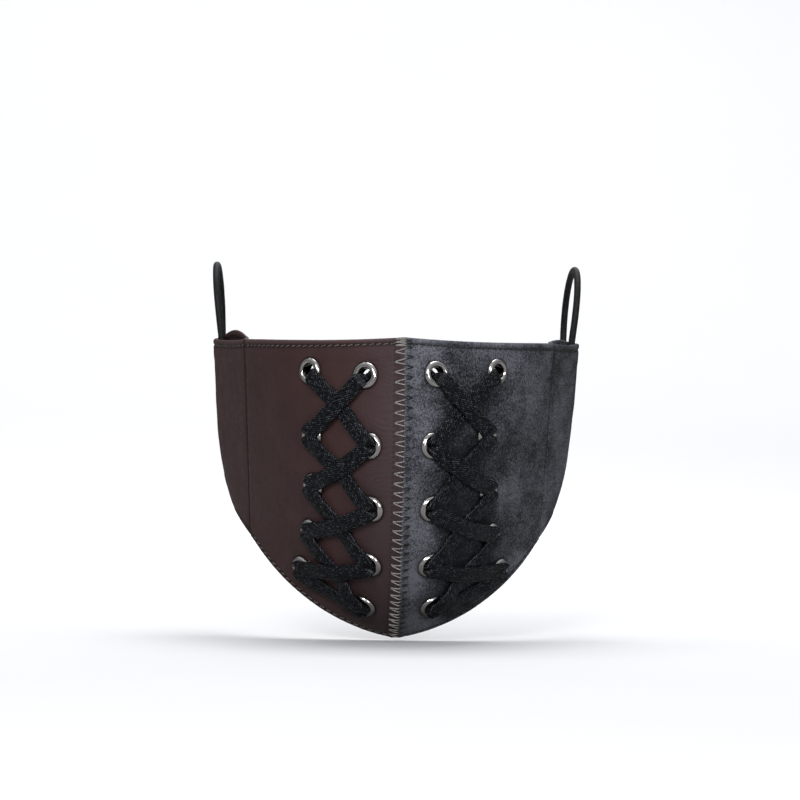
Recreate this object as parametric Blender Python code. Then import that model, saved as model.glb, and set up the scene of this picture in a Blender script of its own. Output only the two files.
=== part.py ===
"""Laced two-tone half-face mask with ear loops.

Two leather halves meet in a vertical centre seam, each with two columns of
eyelets and a flat criss-cross lace. A side casing on each half folds on its
sewing line and carries an elastic ear loop, which swings in the casing.

All sizes below are millimetres; new_mesh() turns them into Blender metres.
Front is -Y, up is +Z, and the mask is symmetric about x = 0.
"""
import bpy
import bmesh
from math import cos, sin, pi, radians
from mathutils import Matrix, Vector

MM = 0.001
ORIGIN = Vector((0.0, 62.0, -0.14))     # model point that becomes the world origin
SIDES = {"brown": -1, "grey": 1}

# Centre seam, seen from the side: a gentle slope above, a round chin below.
NOSE_RADIUS = 176.0
NOSE_ANGLE = radians(12)
CHIN_RADIUS = 86.0
CHIN_ANGLE = radians(65)
NOSE_HEIGHT = CHIN_RADIUS * sin(CHIN_ANGLE)
NOSE_LENGTH = NOSE_RADIUS * NOSE_ANGLE
SEAM_LENGTH = NOSE_LENGTH + CHIN_RADIUS * CHIN_ANGLE

# Cheek surface: a cubic curve from the centre seam to the side seam at each height.
SIDE_SEAM_TOP = Vector((59.0, 54.0, 112.7))
SIDE_SEAM_LOW = Vector((55.6, 73.0, 37.6))
ALONG = (SIDE_SEAM_LOW - SIDE_SEAM_TOP).normalized()
ACROSS = Vector((0.383, 0.924, 0.0)).normalized()
RIDGE_TOP, RIDGE_LOW = radians(20), radians(10)
HANDLE_FRONT_TOP, HANDLE_FRONT_LOW = 28.0, 26.0
HANDLE_SIDE = 28.0

# Layers, measured inward from the outer leather surface.
LEATHER = 1.2
LAYER_GAP = 0.4
LINING = 0.6
SEAM_GAP = 0.15
LINING_MARGIN = 0.012
PANEL_COLUMNS = 9
PANEL_ROWS = 11
PANEL_EDGE_U = 0.9945

# Eyelets, lace and washers.
EYELETS = {
    "brown": {
        "inner": ((0.187, 0.109), (0.164, 0.313), (0.150, 0.500), (0.152, 0.686), (0.175, 0.865)),
        "outer": ((0.489, 0.113), (0.479, 0.340), (0.473, 0.519), (0.491, 0.696), (0.542, 0.872)),
    },
    "grey": {
        "inner": ((0.160, 0.102), (0.147, 0.308), (0.149, 0.496), (0.151, 0.685), (0.176, 0.862)),
        "outer": ((0.507, 0.108), (0.455, 0.325), (0.481, 0.530), (0.521, 0.716), (0.600, 0.903)),
    },
}
ROUND_STEPS = 10
BORE_RADIUS = 2.7
BARREL_RADIUS = 3.05
FLANGE_RADIUS = 5.1
FLANGE_HEIGHT = 1.4
CLINCH_RADIUS = 3.7
HOLE_RADIUS = 3.45
BARREL_DEPTH = 4.0
WASHER_RADIUS = 4.7
WASHER_TOP, WASHER_BOTTOM = 2.75, 3.3

LACE_WIDTH = 6.4
LACE_THICKNESS = 1.1
LACE_STRAND = 1.7
STRAND_OFFSET = 1.25
KNOT = 4.2
LACE_NECK = ((0.9, (2.0, 1.6, -0.35)), (2.6, (3.2, 1.4, 0.0)), (4.8, (5.0, 1.15, 0.0)))
LEVEL_RIM = 2.35
LEVEL_LOW = 1.25
LEVEL_HIGH = 2.9
LEVEL_TOP = 3.8
STRAND_START = 1.7
BAR = 4

# Side casing: a flat tube sewn to the cheek, its front layer longer than its back.
FOLD_GAP = 0.4
FOLD_DEPTH = 0.6
CASING_WIDTH = 32.5
CASING_NARROWING = 15.8
CASING_HEM = 67.9
CASING_THICKNESS = 5.4
CASING_WALL = 1.1
CASING_EDGE_ROUND = 2.0                 # how far the folded edge starts to turn before its end
NECK_WIDTH = 8.5                        # the tube opens to its full depth this far from the seam
BACK_LAYER_END = 56.0
MOUTH_RISE = {"brown": 2.2, "grey": 0.8}
CASING_ROWS = 9

# Elastic ear loop.
CORD_RADIUS = 1.3
CORD_SIDES = 8
CORD_DEPTH = 2.8
TUNNEL_TOP = (0.0, 29.3)
TUNNEL_LOW = (56.0, 19.0)
LOOP_REAR_TOP = Vector((67.4, 123.4, 114.0))
LOOP_REAR_LOW = Vector((66.0, 123.4, 90.0))
LOOP_RISE = 5.0                         # straight cord above the casing mouth
LOOP_FRONT_HANDLE = Vector((4.5, 0, 34.0))
LOOP_REAR_HANDLE = Vector((0.5, 0, 34.0))
LOOP_UNDER = 30.0                       # length of the curve handle below the ear
LOOP_TURN = Vector((0.7, 8.0, -3.6))    # lowest bend, measured from the lower mouth
LOOP_TURN_DIRECTION = Vector((-0.15, -1.0, -0.12)).normalized()

THREAD = 0.30
THREAD_LIFT = 0.55
STITCH = 2.9
ZIGZAG_PITCH = 3.8
ZIGZAG_U = 0.0321                       # half width of the zigzag across the cheek
ZIGZAG_LIFT = 1.3
# Stitch rows: place along the row as (u, v) at its start and end, and its length.
STITCH_ROWS = {
    "top_hem_stitch": ((0.05, 0.018), (0.985, 0.018), 78.0),
    "bottom_hem_stitch": ((0.05, 0.984), (0.975, 0.984), 68.0),
    "casing_seam_stitch": ((0.982, 0.03), (0.982, 0.972), 70.0),
}

COLOURS = {
    "brown_leather": ((0.060, 0.034, 0.032), 0.48, 0.0),
    "grey_leather": ((0.085, 0.087, 0.105), 0.62, 0.0),
    "lining_cotton": ((0.020, 0.019, 0.020), 0.95, 0.0),
    "eyelet_metal": ((0.420, 0.400, 0.390), 0.22, 1.0),
    "lace_cotton": ((0.017, 0.019, 0.022), 0.60, 0.0),
    "elastic_cord": ((0.012, 0.012, 0.014), 0.80, 0.0),
    "thread": ((0.055, 0.046, 0.044), 0.70, 0.0),
}


# ---------------------------------------------------------------- shape of the mask

def mix(a, b, t):
    """Straight blend from a to b."""
    return a * (1 - t) + b * t


def seam_point(v):
    """Point on the centre seam, and the angle its tangent has turned from straight down."""
    length = v * SEAM_LENGTH
    if length < NOSE_LENGTH:
        turn = -NOSE_ANGLE * (1 - length / NOSE_LENGTH)
        radius = NOSE_RADIUS
    else:
        turn = (length - NOSE_LENGTH) / CHIN_RADIUS
        radius = CHIN_RADIUS
    return Vector((0, radius * (1 - cos(turn)), NOSE_HEIGHT - radius * sin(turn))), turn


def cheek_point(u, v):
    """Outer leather surface: u from the centre seam (0) to the side seam (1), v from top to chin."""
    start, turn = seam_point(v)
    ridge = mix(RIDGE_TOP, RIDGE_LOW, v * v)
    inward = Vector((0, cos(turn), sin(turn)))
    front_handle = mix(HANDLE_FRONT_TOP, HANDLE_FRONT_LOW, v)
    first = start + front_handle * (cos(ridge) * Vector((1, 0, 0)) + sin(ridge) * inward)
    end = mix(SIDE_SEAM_TOP, SIDE_SEAM_LOW, v)
    tangent = mix(ACROSS, (0.9 * ACROSS - 0.63 * ALONG).normalized(), v * v).normalized()
    second = end - HANDLE_SIDE * tangent
    w = 1 - u
    return w**3 * start + 3 * w * w * u * first + 3 * w * u * u * second + u**3 * end


def cheek_inward(u, v):
    """Unit normal of the cheek surface, pointing towards the face."""
    step = 1e-3
    du = cheek_point(min(u + step, 1), v) - cheek_point(max(u - step, 0), v)
    dv = cheek_point(u, min(v + step, 1)) - cheek_point(u, max(v - step, 0))
    return du.cross(dv).normalized()


def cheek_layer(u, v, depth):
    """Point below (or above, when negative) the leather, mitred on the centre seam."""
    inward = cheek_inward(u, v)
    if u == 0:
        inward = Vector((0, inward.y, inward.z)) / (inward.y**2 + inward.z**2)
    point = cheek_point(u, v) + depth * inward
    point.x = max(point.x, SEAM_GAP)
    return point


def casing_point(along, across, depth):
    """Point on the flat casing: along its sewing line, across it, and inward."""
    inward = ACROSS.cross(ALONG).normalized()
    if inward.x > 0:
        inward.negate()
    return SIDE_SEAM_TOP + along * ALONG + across * ACROSS + depth * inward


# ---------------------------------------------------------------- mesh helpers

def material(name):
    """Principled material of one of the mask's substances."""
    found = bpy.data.materials.get(name)
    if found:
        return found
    colour, roughness, metallic = COLOURS[name]
    found = bpy.data.materials.new(name)
    found.use_nodes = True
    shader = found.node_tree.nodes["Principled BSDF"]
    shader.inputs["Base Color"].default_value = (*colour, 1)
    shader.inputs["Roughness"].default_value = roughness
    shader.inputs["Metallic"].default_value = metallic
    return found


def placed(point, side):
    """Model point in millimetres as a world point in metres on the chosen side."""
    return Vector((point.x * side, point.y, point.z)) * MM - ORIGIN * MM


def new_mesh(name, points, faces, substance):
    """Mesh of world points with outward faces and one material."""
    mesh = bpy.data.meshes.new(name)
    mesh.from_pydata([tuple(point) for point in points], [], faces)
    work = bmesh.new()
    work.from_mesh(mesh)
    bmesh.ops.recalc_face_normals(work, faces=work.faces)
    work.to_mesh(mesh)
    work.free()
    mesh.materials.append(material(substance))
    mesh.shade_smooth()
    mesh.set_sharp_from_angle(angle=radians(40))
    return mesh


def new_object(name, mesh, parent):
    """Object that keeps its world place under its parent."""
    thing = bpy.data.objects.new(name, mesh)
    bpy.context.collection.objects.link(thing)
    attach(thing, parent)
    return thing


def attach(thing, parent):
    """Parent an object without moving it."""
    if parent is not None:
        thing.parent = parent
        thing.matrix_parent_inverse = parent.matrix_world.inverted()


def pivot(name, point, axis, parent):
    """Empty on a joint's axis, its local Z along the axis."""
    empty = bpy.data.objects.new(name, None)
    empty.empty_display_size = 0.01
    bpy.context.collection.objects.link(empty)
    turn = axis.to_track_quat("Z", "Y").to_matrix().to_4x4()
    empty.matrix_world = Matrix.Translation(point) @ turn
    bpy.context.view_layer.update()
    attach(empty, parent)
    bpy.context.view_layer.update()
    return empty


def loft(rings, closed):
    """Points and faces of a tube through equal rings, joined end to end or capped."""
    count = len(rings[0])
    points = [point for ring in rings for point in ring]
    faces = []
    last = len(rings) if closed else len(rings) - 1
    for row in range(last):
        here = row * count
        there = ((row + 1) % len(rings)) * count
        for k in range(count):
            n = (k + 1) % count
            faces.append((here + k, here + n, there + n, there + k))
    if not closed:
        faces.append(tuple(range(count)))
        faces.append(tuple(range(len(points) - count, len(points))))
    return points, faces


def circle(radius, height):
    """Local points of a round outline about local Z, in metres."""
    angles = [2 * pi * k / ROUND_STEPS for k in range(ROUND_STEPS)]
    return [Vector((radius * cos(a), radius * sin(a), height)) * MM for a in angles]


def turned(profile):
    """Points and faces of a closed (radius, height) profile turned about local Z."""
    hoops = [circle(radius, height) for radius, height in profile]
    return loft([list(ring) for ring in zip(*hoops)], closed=True)


# ---------------------------------------------------------------- leather and lining sheets

def grid_lines(count, end, margin):
    """Even parameter steps from 0 to end, the first and last drawn in by the margin."""
    lines = [end * k / count for k in range(count + 1)]
    lines[0] += margin
    lines[-1] -= margin
    return lines


def sheet(name, side, depth_out, depth_in, margin, substance, parent):
    """Closed curved slab covering one cheek between two depths."""
    us = grid_lines(PANEL_COLUMNS, PANEL_EDGE_U, margin)
    vs = grid_lines(PANEL_ROWS, 1, margin)
    layers = [[[placed(cheek_layer(u, v, depth), side) for u in us] for v in vs]
              for depth in (depth_out, depth_in)]
    wide, size = len(us), len(us) * len(vs)
    points = [point for layer in layers for row in layer for point in row]
    faces = []
    for row in range(PANEL_ROWS):
        for k in range(PANEL_COLUMNS):
            a = row * wide + k
            for triangle in ((a, a + 1, a + 1 + wide), (a, a + 1 + wide, a + wide)):
                faces.append(triangle)
                faces.append(tuple(size + corner for corner in triangle))
    rim = [k for k in range(wide)]
    rim += [row * wide + wide - 1 for row in range(1, PANEL_ROWS + 1)]
    rim += [PANEL_ROWS * wide + k for k in range(wide - 2, -1, -1)]
    rim += [row * wide for row in range(PANEL_ROWS - 1, 0, -1)]
    for a, b in zip(rim, rim[1:] + rim[:1]):
        faces.append((a, b, b + size, a + size))
    return new_object(name, new_mesh(name, points, faces, substance), parent)


def eyelet_frame(u, v, side):
    """World matrix at an eyelet: local Z points out of the leather."""
    outward = -cheek_inward(u, v)
    outward.x *= side
    turn = outward.to_track_quat("Z", "Y").to_matrix().to_4x4()
    return Matrix.Translation(placed(cheek_point(u, v), side)) @ turn


def hole_cutter(colour, side):
    """Ten round plugs that punch the eyelet holes of one half."""
    points, faces = [], []
    for column in EYELETS[colour].values():
        for u, v in column:
            frame = eyelet_frame(u, v, side)
            rings = [[frame @ point for point in circle(HOLE_RADIUS, height)] for height in (4, -7)]
            plug_points, plug_faces = loft(rings, closed=False)
            faces += [tuple(len(points) + k for k in face) for face in plug_faces]
            points += plug_points
    return new_cutter(colour + "_hole_cutter", points, faces)


def new_cutter(name, points, faces):
    """Hidden wire object that Booleans subtract."""
    cutter = new_object(name, new_mesh(name, points, faces, "thread"), None)
    cutter.hide_render = True
    cutter.display_type = "WIRE"
    return cutter


def cut(thing, cutter):
    """Exact Boolean difference kept on the object."""
    modifier = thing.modifiers.new("cut_" + cutter.name, "BOOLEAN")
    modifier.operation = "DIFFERENCE"
    modifier.solver = "EXACT"
    modifier.object = cutter


# ---------------------------------------------------------------- eyelets and washers

def eyelet_mesh():
    """Domed flange, barrel and clinched inner end in one turned piece."""
    end = -BARREL_DEPTH
    profile = ((FLANGE_RADIUS, 0.4), (4.4, FLANGE_HEIGHT), (BORE_RADIUS, 0.8), (BORE_RADIUS, end),
               (CLINCH_RADIUS, end + 0.1), (BARREL_RADIUS, end + 0.5), (BARREL_RADIUS, 0.4))
    points, faces = turned(profile)
    return new_mesh("eyelet", points, faces, "eyelet_metal")


def washer_mesh():
    """Flat ring that the eyelet is clinched over, behind the lining."""
    profile = ((WASHER_RADIUS, -WASHER_TOP), (HOLE_RADIUS, -WASHER_TOP),
               (HOLE_RADIUS, -WASHER_BOTTOM), (WASHER_RADIUS, -WASHER_BOTTOM))
    points, faces = turned(profile)
    return new_mesh("washer", points, faces, "eyelet_metal")


def add_eyelets(colour, side, eyelet, washer, parent):
    """Both columns of eyelets of one half, each with its washer."""
    for column, places in EYELETS[colour].items():
        for number, (u, v) in enumerate(places, start=1):
            for kind, mesh in (("eyelet", eyelet), ("washer", washer)):
                thing = bpy.data.objects.new(f"{colour}_{column}_{kind}_{number}", mesh)
                bpy.context.collection.objects.link(thing)
                thing.matrix_world = eyelet_frame(u, v, side)
                bpy.context.view_layer.update()
                attach(thing, parent)


# ---------------------------------------------------------------- laces

def section(centre, wide_axis, thick_axis, width, thickness):
    """Rectangular section of the lace around its centre."""
    w = wide_axis.normalized() * width / 2
    t = thick_axis.normalized() * thickness / 2
    return [centre + w + t, centre - w + t, centre - w - t, centre + w - t]


def strap_axes(a, b, t):
    """Surface point, tangent along the strap and outward normal at t of the way from a to b."""
    u, v = mix(a[0], b[0], t), mix(a[1], b[1], t)
    step = 0.01
    ahead = cheek_point(mix(a[0], b[0], t + step), mix(a[1], b[1], t + step))
    behind = cheek_point(mix(a[0], b[0], t - step), mix(a[1], b[1], t - step))
    return cheek_point(u, v), (ahead - behind).normalized(), -cheek_inward(u, v)


def height_at(levels, t):
    """Lace height above the leather, straight between the given (t, height) stops."""
    for (t0, h0), (t1, h1) in zip(levels, levels[1:]):
        if t <= t1:
            return mix(h0, h1, (t - t0) / (t1 - t0))
    return levels[-1][1]


def strap_rings(a, b, offset_a, offset_b, levels):
    """Outside stretch of lace from eyelet a to eyelet b, bore mouth to bore mouth."""
    span = (cheek_point(*b) - cheek_point(*a)).length
    full = (LACE_WIDTH, LACE_THICKNESS, 0.0)
    stations = [(distance / span, *size) for distance, size in LACE_NECK]
    stations += [(t, *full) for t in (7.0 / span, 0.35, 0.5, 0.65, 1 - 7.0 / span)]
    stations += [(1 - distance / span, *size) for distance, size in reversed(LACE_NECK)]
    rings = []
    for t, width, thick, drop in stations:
        point, along, outward = strap_axes(a, b, t)
        centre = point + outward * (height_at(levels, t) + drop) + mix(offset_a, offset_b, t)
        tilt = -1 if t < 0.5 else 1
        lean = outward + along * (tilt if drop else 0)
        rings.append(section(centre, along.cross(outward), lean, width, thick))
    return rings


def bore_rings(place, offset, wide_axis, top, going_in):
    """Square strand running through an eyelet's bore."""
    inward = cheek_inward(*place)
    centre = cheek_point(*place) + offset
    rings = []
    for height in (top, -BARREL_DEPTH + 0.2):
        across = inward.cross(wide_axis)
        rings.append(section(centre - inward * height, wide_axis, across, LACE_STRAND, LACE_STRAND))
    return rings if going_in else rings[::-1]


def bight_rings(place, offset_in, offset_out):
    """U-turn of the lace behind an eyelet."""
    inward = cheek_inward(*place)
    centre = cheek_point(*place) + inward * (BARREL_DEPTH + 0.9)
    side_axis = inward.cross(offset_in)
    rings = []
    for k in range(5):
        angle = pi * k / 4
        radial = offset_in.normalized() * cos(angle) + inward * sin(angle)
        radius = offset_in.length + 0.15 * sin(angle)
        rings.append(section(centre + radial * radius, side_axis, radial, LACE_STRAND, LACE_STRAND - 0.1))
    return rings


def knot_rings(place, going_in):
    """Knotted end of the lace behind its last eyelet."""
    inward = cheek_inward(*place)
    axis = inward.orthogonal()
    rings = []
    for past_barrel, size in ((0.9, LACE_STRAND), (1.6, KNOT), (4.4, KNOT), (5.2, KNOT / 2)):
        centre = cheek_point(*place) + inward * (BARREL_DEPTH + past_barrel)
        rings.append(section(centre, axis, inward.cross(axis), size, size))
    return rings if going_in else rings[::-1]


def aligned(rings):
    """Turn each section's corner order so that consecutive sections match without a twist."""
    result = [rings[0]]
    for ring in rings[1:]:
        orders = []
        for flip in (ring, ring[::-1]):
            orders += [flip[k:] + flip[:k] for k in range(4)]
        before = result[-1]
        result.append(min(orders, key=lambda o: sum((p - q).length for p, q in zip(o, before))))
    return result


def lace_path(colour):
    """Eyelets in lacing order: down one way, across the bottom bar, and up the other."""
    inner, outer = EYELETS[colour]["inner"], EYELETS[colour]["outer"]
    down = [outer[0], inner[1], outer[2], inner[3], outer[4]]
    up = [inner[4], outer[3], inner[2], outer[1], inner[0]]
    return down + up


def strap_levels(index):
    """Height stops of each strap; straps that run down from the inner column pass on top."""
    rim_end = [(0.85, LEVEL_RIM), (1, LEVEL_RIM)]
    if index == BAR:
        return [(0, LEVEL_RIM), (0.2, LEVEL_RIM), (0.35, LEVEL_LOW), (0.65, LEVEL_LOW)] + rim_end
    if index == BAR + 1:
        return [(0, LEVEL_TOP), (0.18, LEVEL_TOP), (0.38, LEVEL_LOW), (0.64, LEVEL_LOW)] + rim_end
    if (index < BAR) == (index % 2 == 0):
        return [(0, LEVEL_RIM), (0.15, LEVEL_RIM), (0.36, LEVEL_LOW), (0.64, LEVEL_LOW)] + rim_end
    return [(0, LEVEL_RIM), (0.25, LEVEL_HIGH), (0.75, LEVEL_HIGH), (1, LEVEL_RIM)]


def strap_wide_axis(strap, end):
    """Width direction of a strap at one of its ends."""
    along, outward = strap_axes(*strap, end)[1:]
    return along.cross(outward).normalized()


def add_lace(colour, side, parent):
    """One continuous flat lace through the ten eyelets of a half."""
    path = lace_path(colour)
    straps = list(zip(path, path[1:]))
    count = len(path)
    offsets_in = [Vector()] * count
    offsets_out = [Vector()] * count
    for k in range(1, count - 1):
        back = strap_axes(*straps[k - 1], 0.99)[1] * -1
        ahead = strap_axes(*straps[k], 0.01)[1]
        offsets_in[k] = (back - ahead).normalized() * STRAND_OFFSET
        offsets_out[k] = -offsets_in[k]
    rings = knot_rings(path[0], going_in=False)
    top = LEVEL_RIM - STRAND_START
    rings += bore_rings(path[0], Vector(), strap_wide_axis(straps[0], 0), top, False)
    for k, (a, b) in enumerate(straps):
        rings += strap_rings(a, b, offsets_out[k], offsets_in[k + 1], strap_levels(k))
        rings += bore_rings(b, offsets_in[k + 1], strap_wide_axis((a, b), 1), top, True)
        if k + 1 < len(straps):
            rings += bight_rings(b, offsets_in[k + 1], offsets_out[k + 1])
            start = strap_levels(k + 1)[0][1] - STRAND_START
            wide_axis = strap_wide_axis(straps[k + 1], 0)
            rings += bore_rings(b, offsets_out[k + 1], wide_axis, start, False)
    rings += knot_rings(path[-1], going_in=True)
    world = [[placed(point, side) for point in ring] for ring in aligned(rings)]
    points, faces = loft(world, closed=False)
    name = colour + "_lace"
    return new_object(name, new_mesh(name, points, faces, "lace_cotton"), parent)


# ---------------------------------------------------------------- side casings

def casing_width(row_v):
    """Width of the casing at a row; it narrows towards the hem."""
    return CASING_WIDTH - CASING_NARROWING * row_v**4


def casing_sections(row_v, rise):
    """Outer and inner outline of the casing tube at one row."""
    wide, thick, wall = casing_width(row_v), CASING_THICKNESS, CASING_WALL
    seam_length = (SIDE_SEAM_LOW - SIDE_SEAM_TOP).length
    bend = wide - CASING_EDGE_ROUND
    edge, neck = wide - CASING_EDGE_ROUND / 4, NECK_WIDTH
    outer = ((FOLD_GAP, 0), (wide / 3, 0), (wide * 2 / 3, 0), (bend, 0), (edge, 0.8),
             (wide, thick / 2), (edge, thick - 0.8), (bend, thick), (wide * 0.6, thick),
             (neck, thick), (neck - 3.9, 2.4), (FOLD_GAP, LEATHER))
    inner = ((neck - 2.9, wall), (wide / 3 + 2, wall), (wide * 2 / 3, wall), (bend - 0.2, wall),
             (edge - 0.8, 1.6), (wide - wall, thick / 2), (edge - 0.8, thick - 1.6),
             (bend - 0.2, thick - wall), (wide * 0.6, thick - wall), (neck + 0.5, thick - wall),
             (neck - 1.7, 2.4), (neck - 2.9, 1.5))
    sections = []
    for outline in (outer, inner):
        ring = []
        for across, depth in outline:
            share = across / wide
            along = row_v * mix(seam_length, CASING_HEM, share)
            lift = rise * sin(pi * share) * depth / thick if row_v == 0 else 0
            ring.append(casing_point(along - lift, across, depth))
        sections.append(ring)
    return sections


def add_casing(colour, side, parent):
    """Flat leather tube with open mouths at the top and bottom."""
    outers, inners = [], []
    for row in range(CASING_ROWS + 1):
        outer, inner = casing_sections(row / CASING_ROWS, MOUTH_RISE[colour])
        outers.append([placed(point, side) for point in outer])
        inners.append([placed(point, side) for point in inner])
    points, faces = loft(outers + inners[::-1], closed=True)
    name = colour + "_side_casing"
    casing = new_object(name, new_mesh(name, points, faces, colour + "_leather"), parent)
    corners = []
    for depth in (CASING_WALL + 0.05, 12):
        for along, across in ((BACK_LAYER_END, -8), (90, -8), (90, 40), (BACK_LAYER_END, 40)):
            corners.append(placed(casing_point(along, across, depth), side))
    box_points, box_faces = loft([corners[:4], corners[4:]], closed=False)
    cut(casing, new_cutter(colour + "_casing_cutter", box_points, box_faces))


# ---------------------------------------------------------------- ear loops

def tunnel_point(end):
    """Point on the cord's straight axis at the top or bottom of the casing."""
    return casing_point(*end, CORD_DEPTH)


def bezier(points, steps):
    """Points and tangents along a cubic curve, both ends left out."""
    p0, p1, p2, p3 = points
    stations = []
    for k in range(1, steps):
        t = k / steps
        w = 1 - t
        centre = w**3 * p0 + 3 * w * w * t * p1 + 3 * w * t * t * p2 + t**3 * p3
        tangent = w * w * (p1 - p0) + 2 * w * t * (p2 - p1) + t * t * (p3 - p2)
        stations.append((centre, tangent.normalized()))
    return stations


def loop_stations():
    """Closed centre line: up through the casing, over the ear, down behind it and back."""
    top, low = tunnel_point(TUNNEL_TOP), tunnel_point(TUNNEL_LOW)
    up, down = (top - low).normalized(), Vector((0, 0, -1))
    entry = low - up * 2.0
    rise = top + up * LOOP_RISE
    rear_top, rear_low = LOOP_REAR_TOP, LOOP_REAR_LOW
    turn, forward = entry + LOOP_TURN, LOOP_TURN_DIRECTION
    arch = (rise, rise + LOOP_FRONT_HANDLE, rear_top + LOOP_REAR_HANDLE, rear_top)
    under = (rear_low, rear_low + LOOP_UNDER * down, turn - 20.0 * forward, turn)
    bend = (turn, turn + 5.0 * forward, entry - 4.0 * up, entry)
    stations = [(entry, up), (top, up), (rise, up)] + bezier(arch, 9)
    stations += [(rear_top, down), (rear_low, down)] + bezier(under, 7)
    return stations + [(turn, forward)] + bezier(bend, 4)


def add_ear_loop(colour, side, parent):
    """Elastic cord bent into one closed ring."""
    rings = []
    for centre, along in loop_stations():
        across = Vector((1, 0, 0)).cross(along).normalized()
        sideways = along.cross(across).normalized()
        ring = []
        for k in range(CORD_SIDES):
            angle = 2 * pi * (k + 0.5) / CORD_SIDES
            offset = across * sin(angle) + sideways * cos(angle)
            ring.append(placed(centre + offset * CORD_RADIUS, side))
        rings.append(ring)
    points, faces = loft(rings, closed=True)
    name = colour + "_ear_loop"
    return new_object(name, new_mesh(name, points, faces, "elastic_cord"), parent)


# ---------------------------------------------------------------- sewing threads

def thread_body(name, centres, outwards, side, parent):
    """One continuous thread with a three-cornered section through the given centres."""
    rings = []
    for k, centre in enumerate(centres):
        along = centres[min(k + 1, len(centres) - 1)] - centres[max(k - 1, 0)]
        across = along.cross(outwards[k]).normalized()
        ring = []
        for j in range(3):
            angle = 2 * pi * j / 3
            offset = outwards[k] * cos(angle) + across * sin(angle)
            ring.append(placed(centre + offset * THREAD, side))
        rings.append(ring)
    points, faces = loft(rings, closed=False)
    return new_object(name, new_mesh(name, points, faces, "thread"), parent)


def add_stitch_row(name, start, end, length, side, parent):
    """Row of running stitches that dips between stitches along a line on the leather."""
    steps = 2 * int(length / STITCH)
    centres, outwards = [], []
    for k in range(steps + 1):
        u, v = mix(start[0], end[0], k / steps), mix(start[1], end[1], k / steps)
        outward = -cheek_inward(u, v)
        height = THREAD_LIFT + THREAD + (0.25 if k % 2 else 0)
        centres.append(cheek_point(u, v) + outward * height)
        outwards.append(outward)
    return thread_body(name, centres, outwards, side, parent)


def add_centre_zigzag(parent):
    """Wide zigzag thread that joins the two halves over the centre seam."""
    steps = int(SEAM_LENGTH / ZIGZAG_PITCH) * 2
    centres, outwards = [], []
    for k in range(1, steps):
        v = k / steps
        side = 1 if k % 2 else -1
        point = cheek_point(ZIGZAG_U, v) - cheek_inward(ZIGZAG_U, v) * ZIGZAG_LIFT
        centres.append(Vector((point.x * side, point.y, point.z)))
        turn = seam_point(v)[1]
        outwards.append(Vector((0, -cos(turn), -sin(turn))))
    return thread_body("centre_zigzag_stitch", centres, outwards, 1, parent)


# ---------------------------------------------------------------- assembly

def mirrored_axis(axis, side):
    """Joint axis for a side: positive turns swing both sides towards the face."""
    return axis if side > 0 else Vector((axis.x, -axis.y, -axis.z))


def build():
    """Model the whole mask at rest."""
    body = pivot("mask_body", Vector(), Vector((0, 0, 1)), None)
    eyelet, washer = eyelet_mesh(), washer_mesh()
    for colour, side in SIDES.items():
        leather = colour + "_leather"
        cutter = hole_cutter(colour, side)
        cut(sheet(colour + "_front_panel", side, 0, LEATHER, 0, leather, body), cutter)
        lining_top = LEATHER + LAYER_GAP
        cut(sheet(colour + "_lining", side, lining_top, lining_top + LINING, LINING_MARGIN,
                  "lining_cotton", body), cutter)
        add_eyelets(colour, side, eyelet, washer, body)
        add_lace(colour, side, body)
        for name, (start, end, length) in STITCH_ROWS.items():
            add_stitch_row(f"{colour}_{name}", start, end, length, side, body)
        fold_point = placed(SIDE_SEAM_TOP + FOLD_DEPTH * (casing_point(0, 0, 1) - SIDE_SEAM_TOP), side)
        fold = pivot(colour + "_casing_fold", fold_point, mirrored_axis(-ALONG, side), body)
        add_casing(colour, side, fold)
        top, low = tunnel_point(TUNNEL_TOP), tunnel_point(TUNNEL_LOW)
        swing_axis = mirrored_axis((top - low).normalized(), side)
        swing = pivot(colour + "_loop_swing", placed(top, side), swing_axis, fold)
        add_ear_loop(colour, side, swing)
    add_centre_zigzag(body)


for old in list(bpy.data.objects):
    bpy.data.objects.remove(old)
build()
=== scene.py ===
"""Looks of the laced two-tone half-face mask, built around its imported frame.

Shape functions work in model millimetres on the +X (grey) side, where the cheek surface
has coordinates u (0 at the centre seam, 1 at the side seam) and v (0 at the top edge,
1 at the chin). world() mirrors a point to its side and turns it into frame metres.
"""
from math import cos, pi, radians, sin

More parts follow.
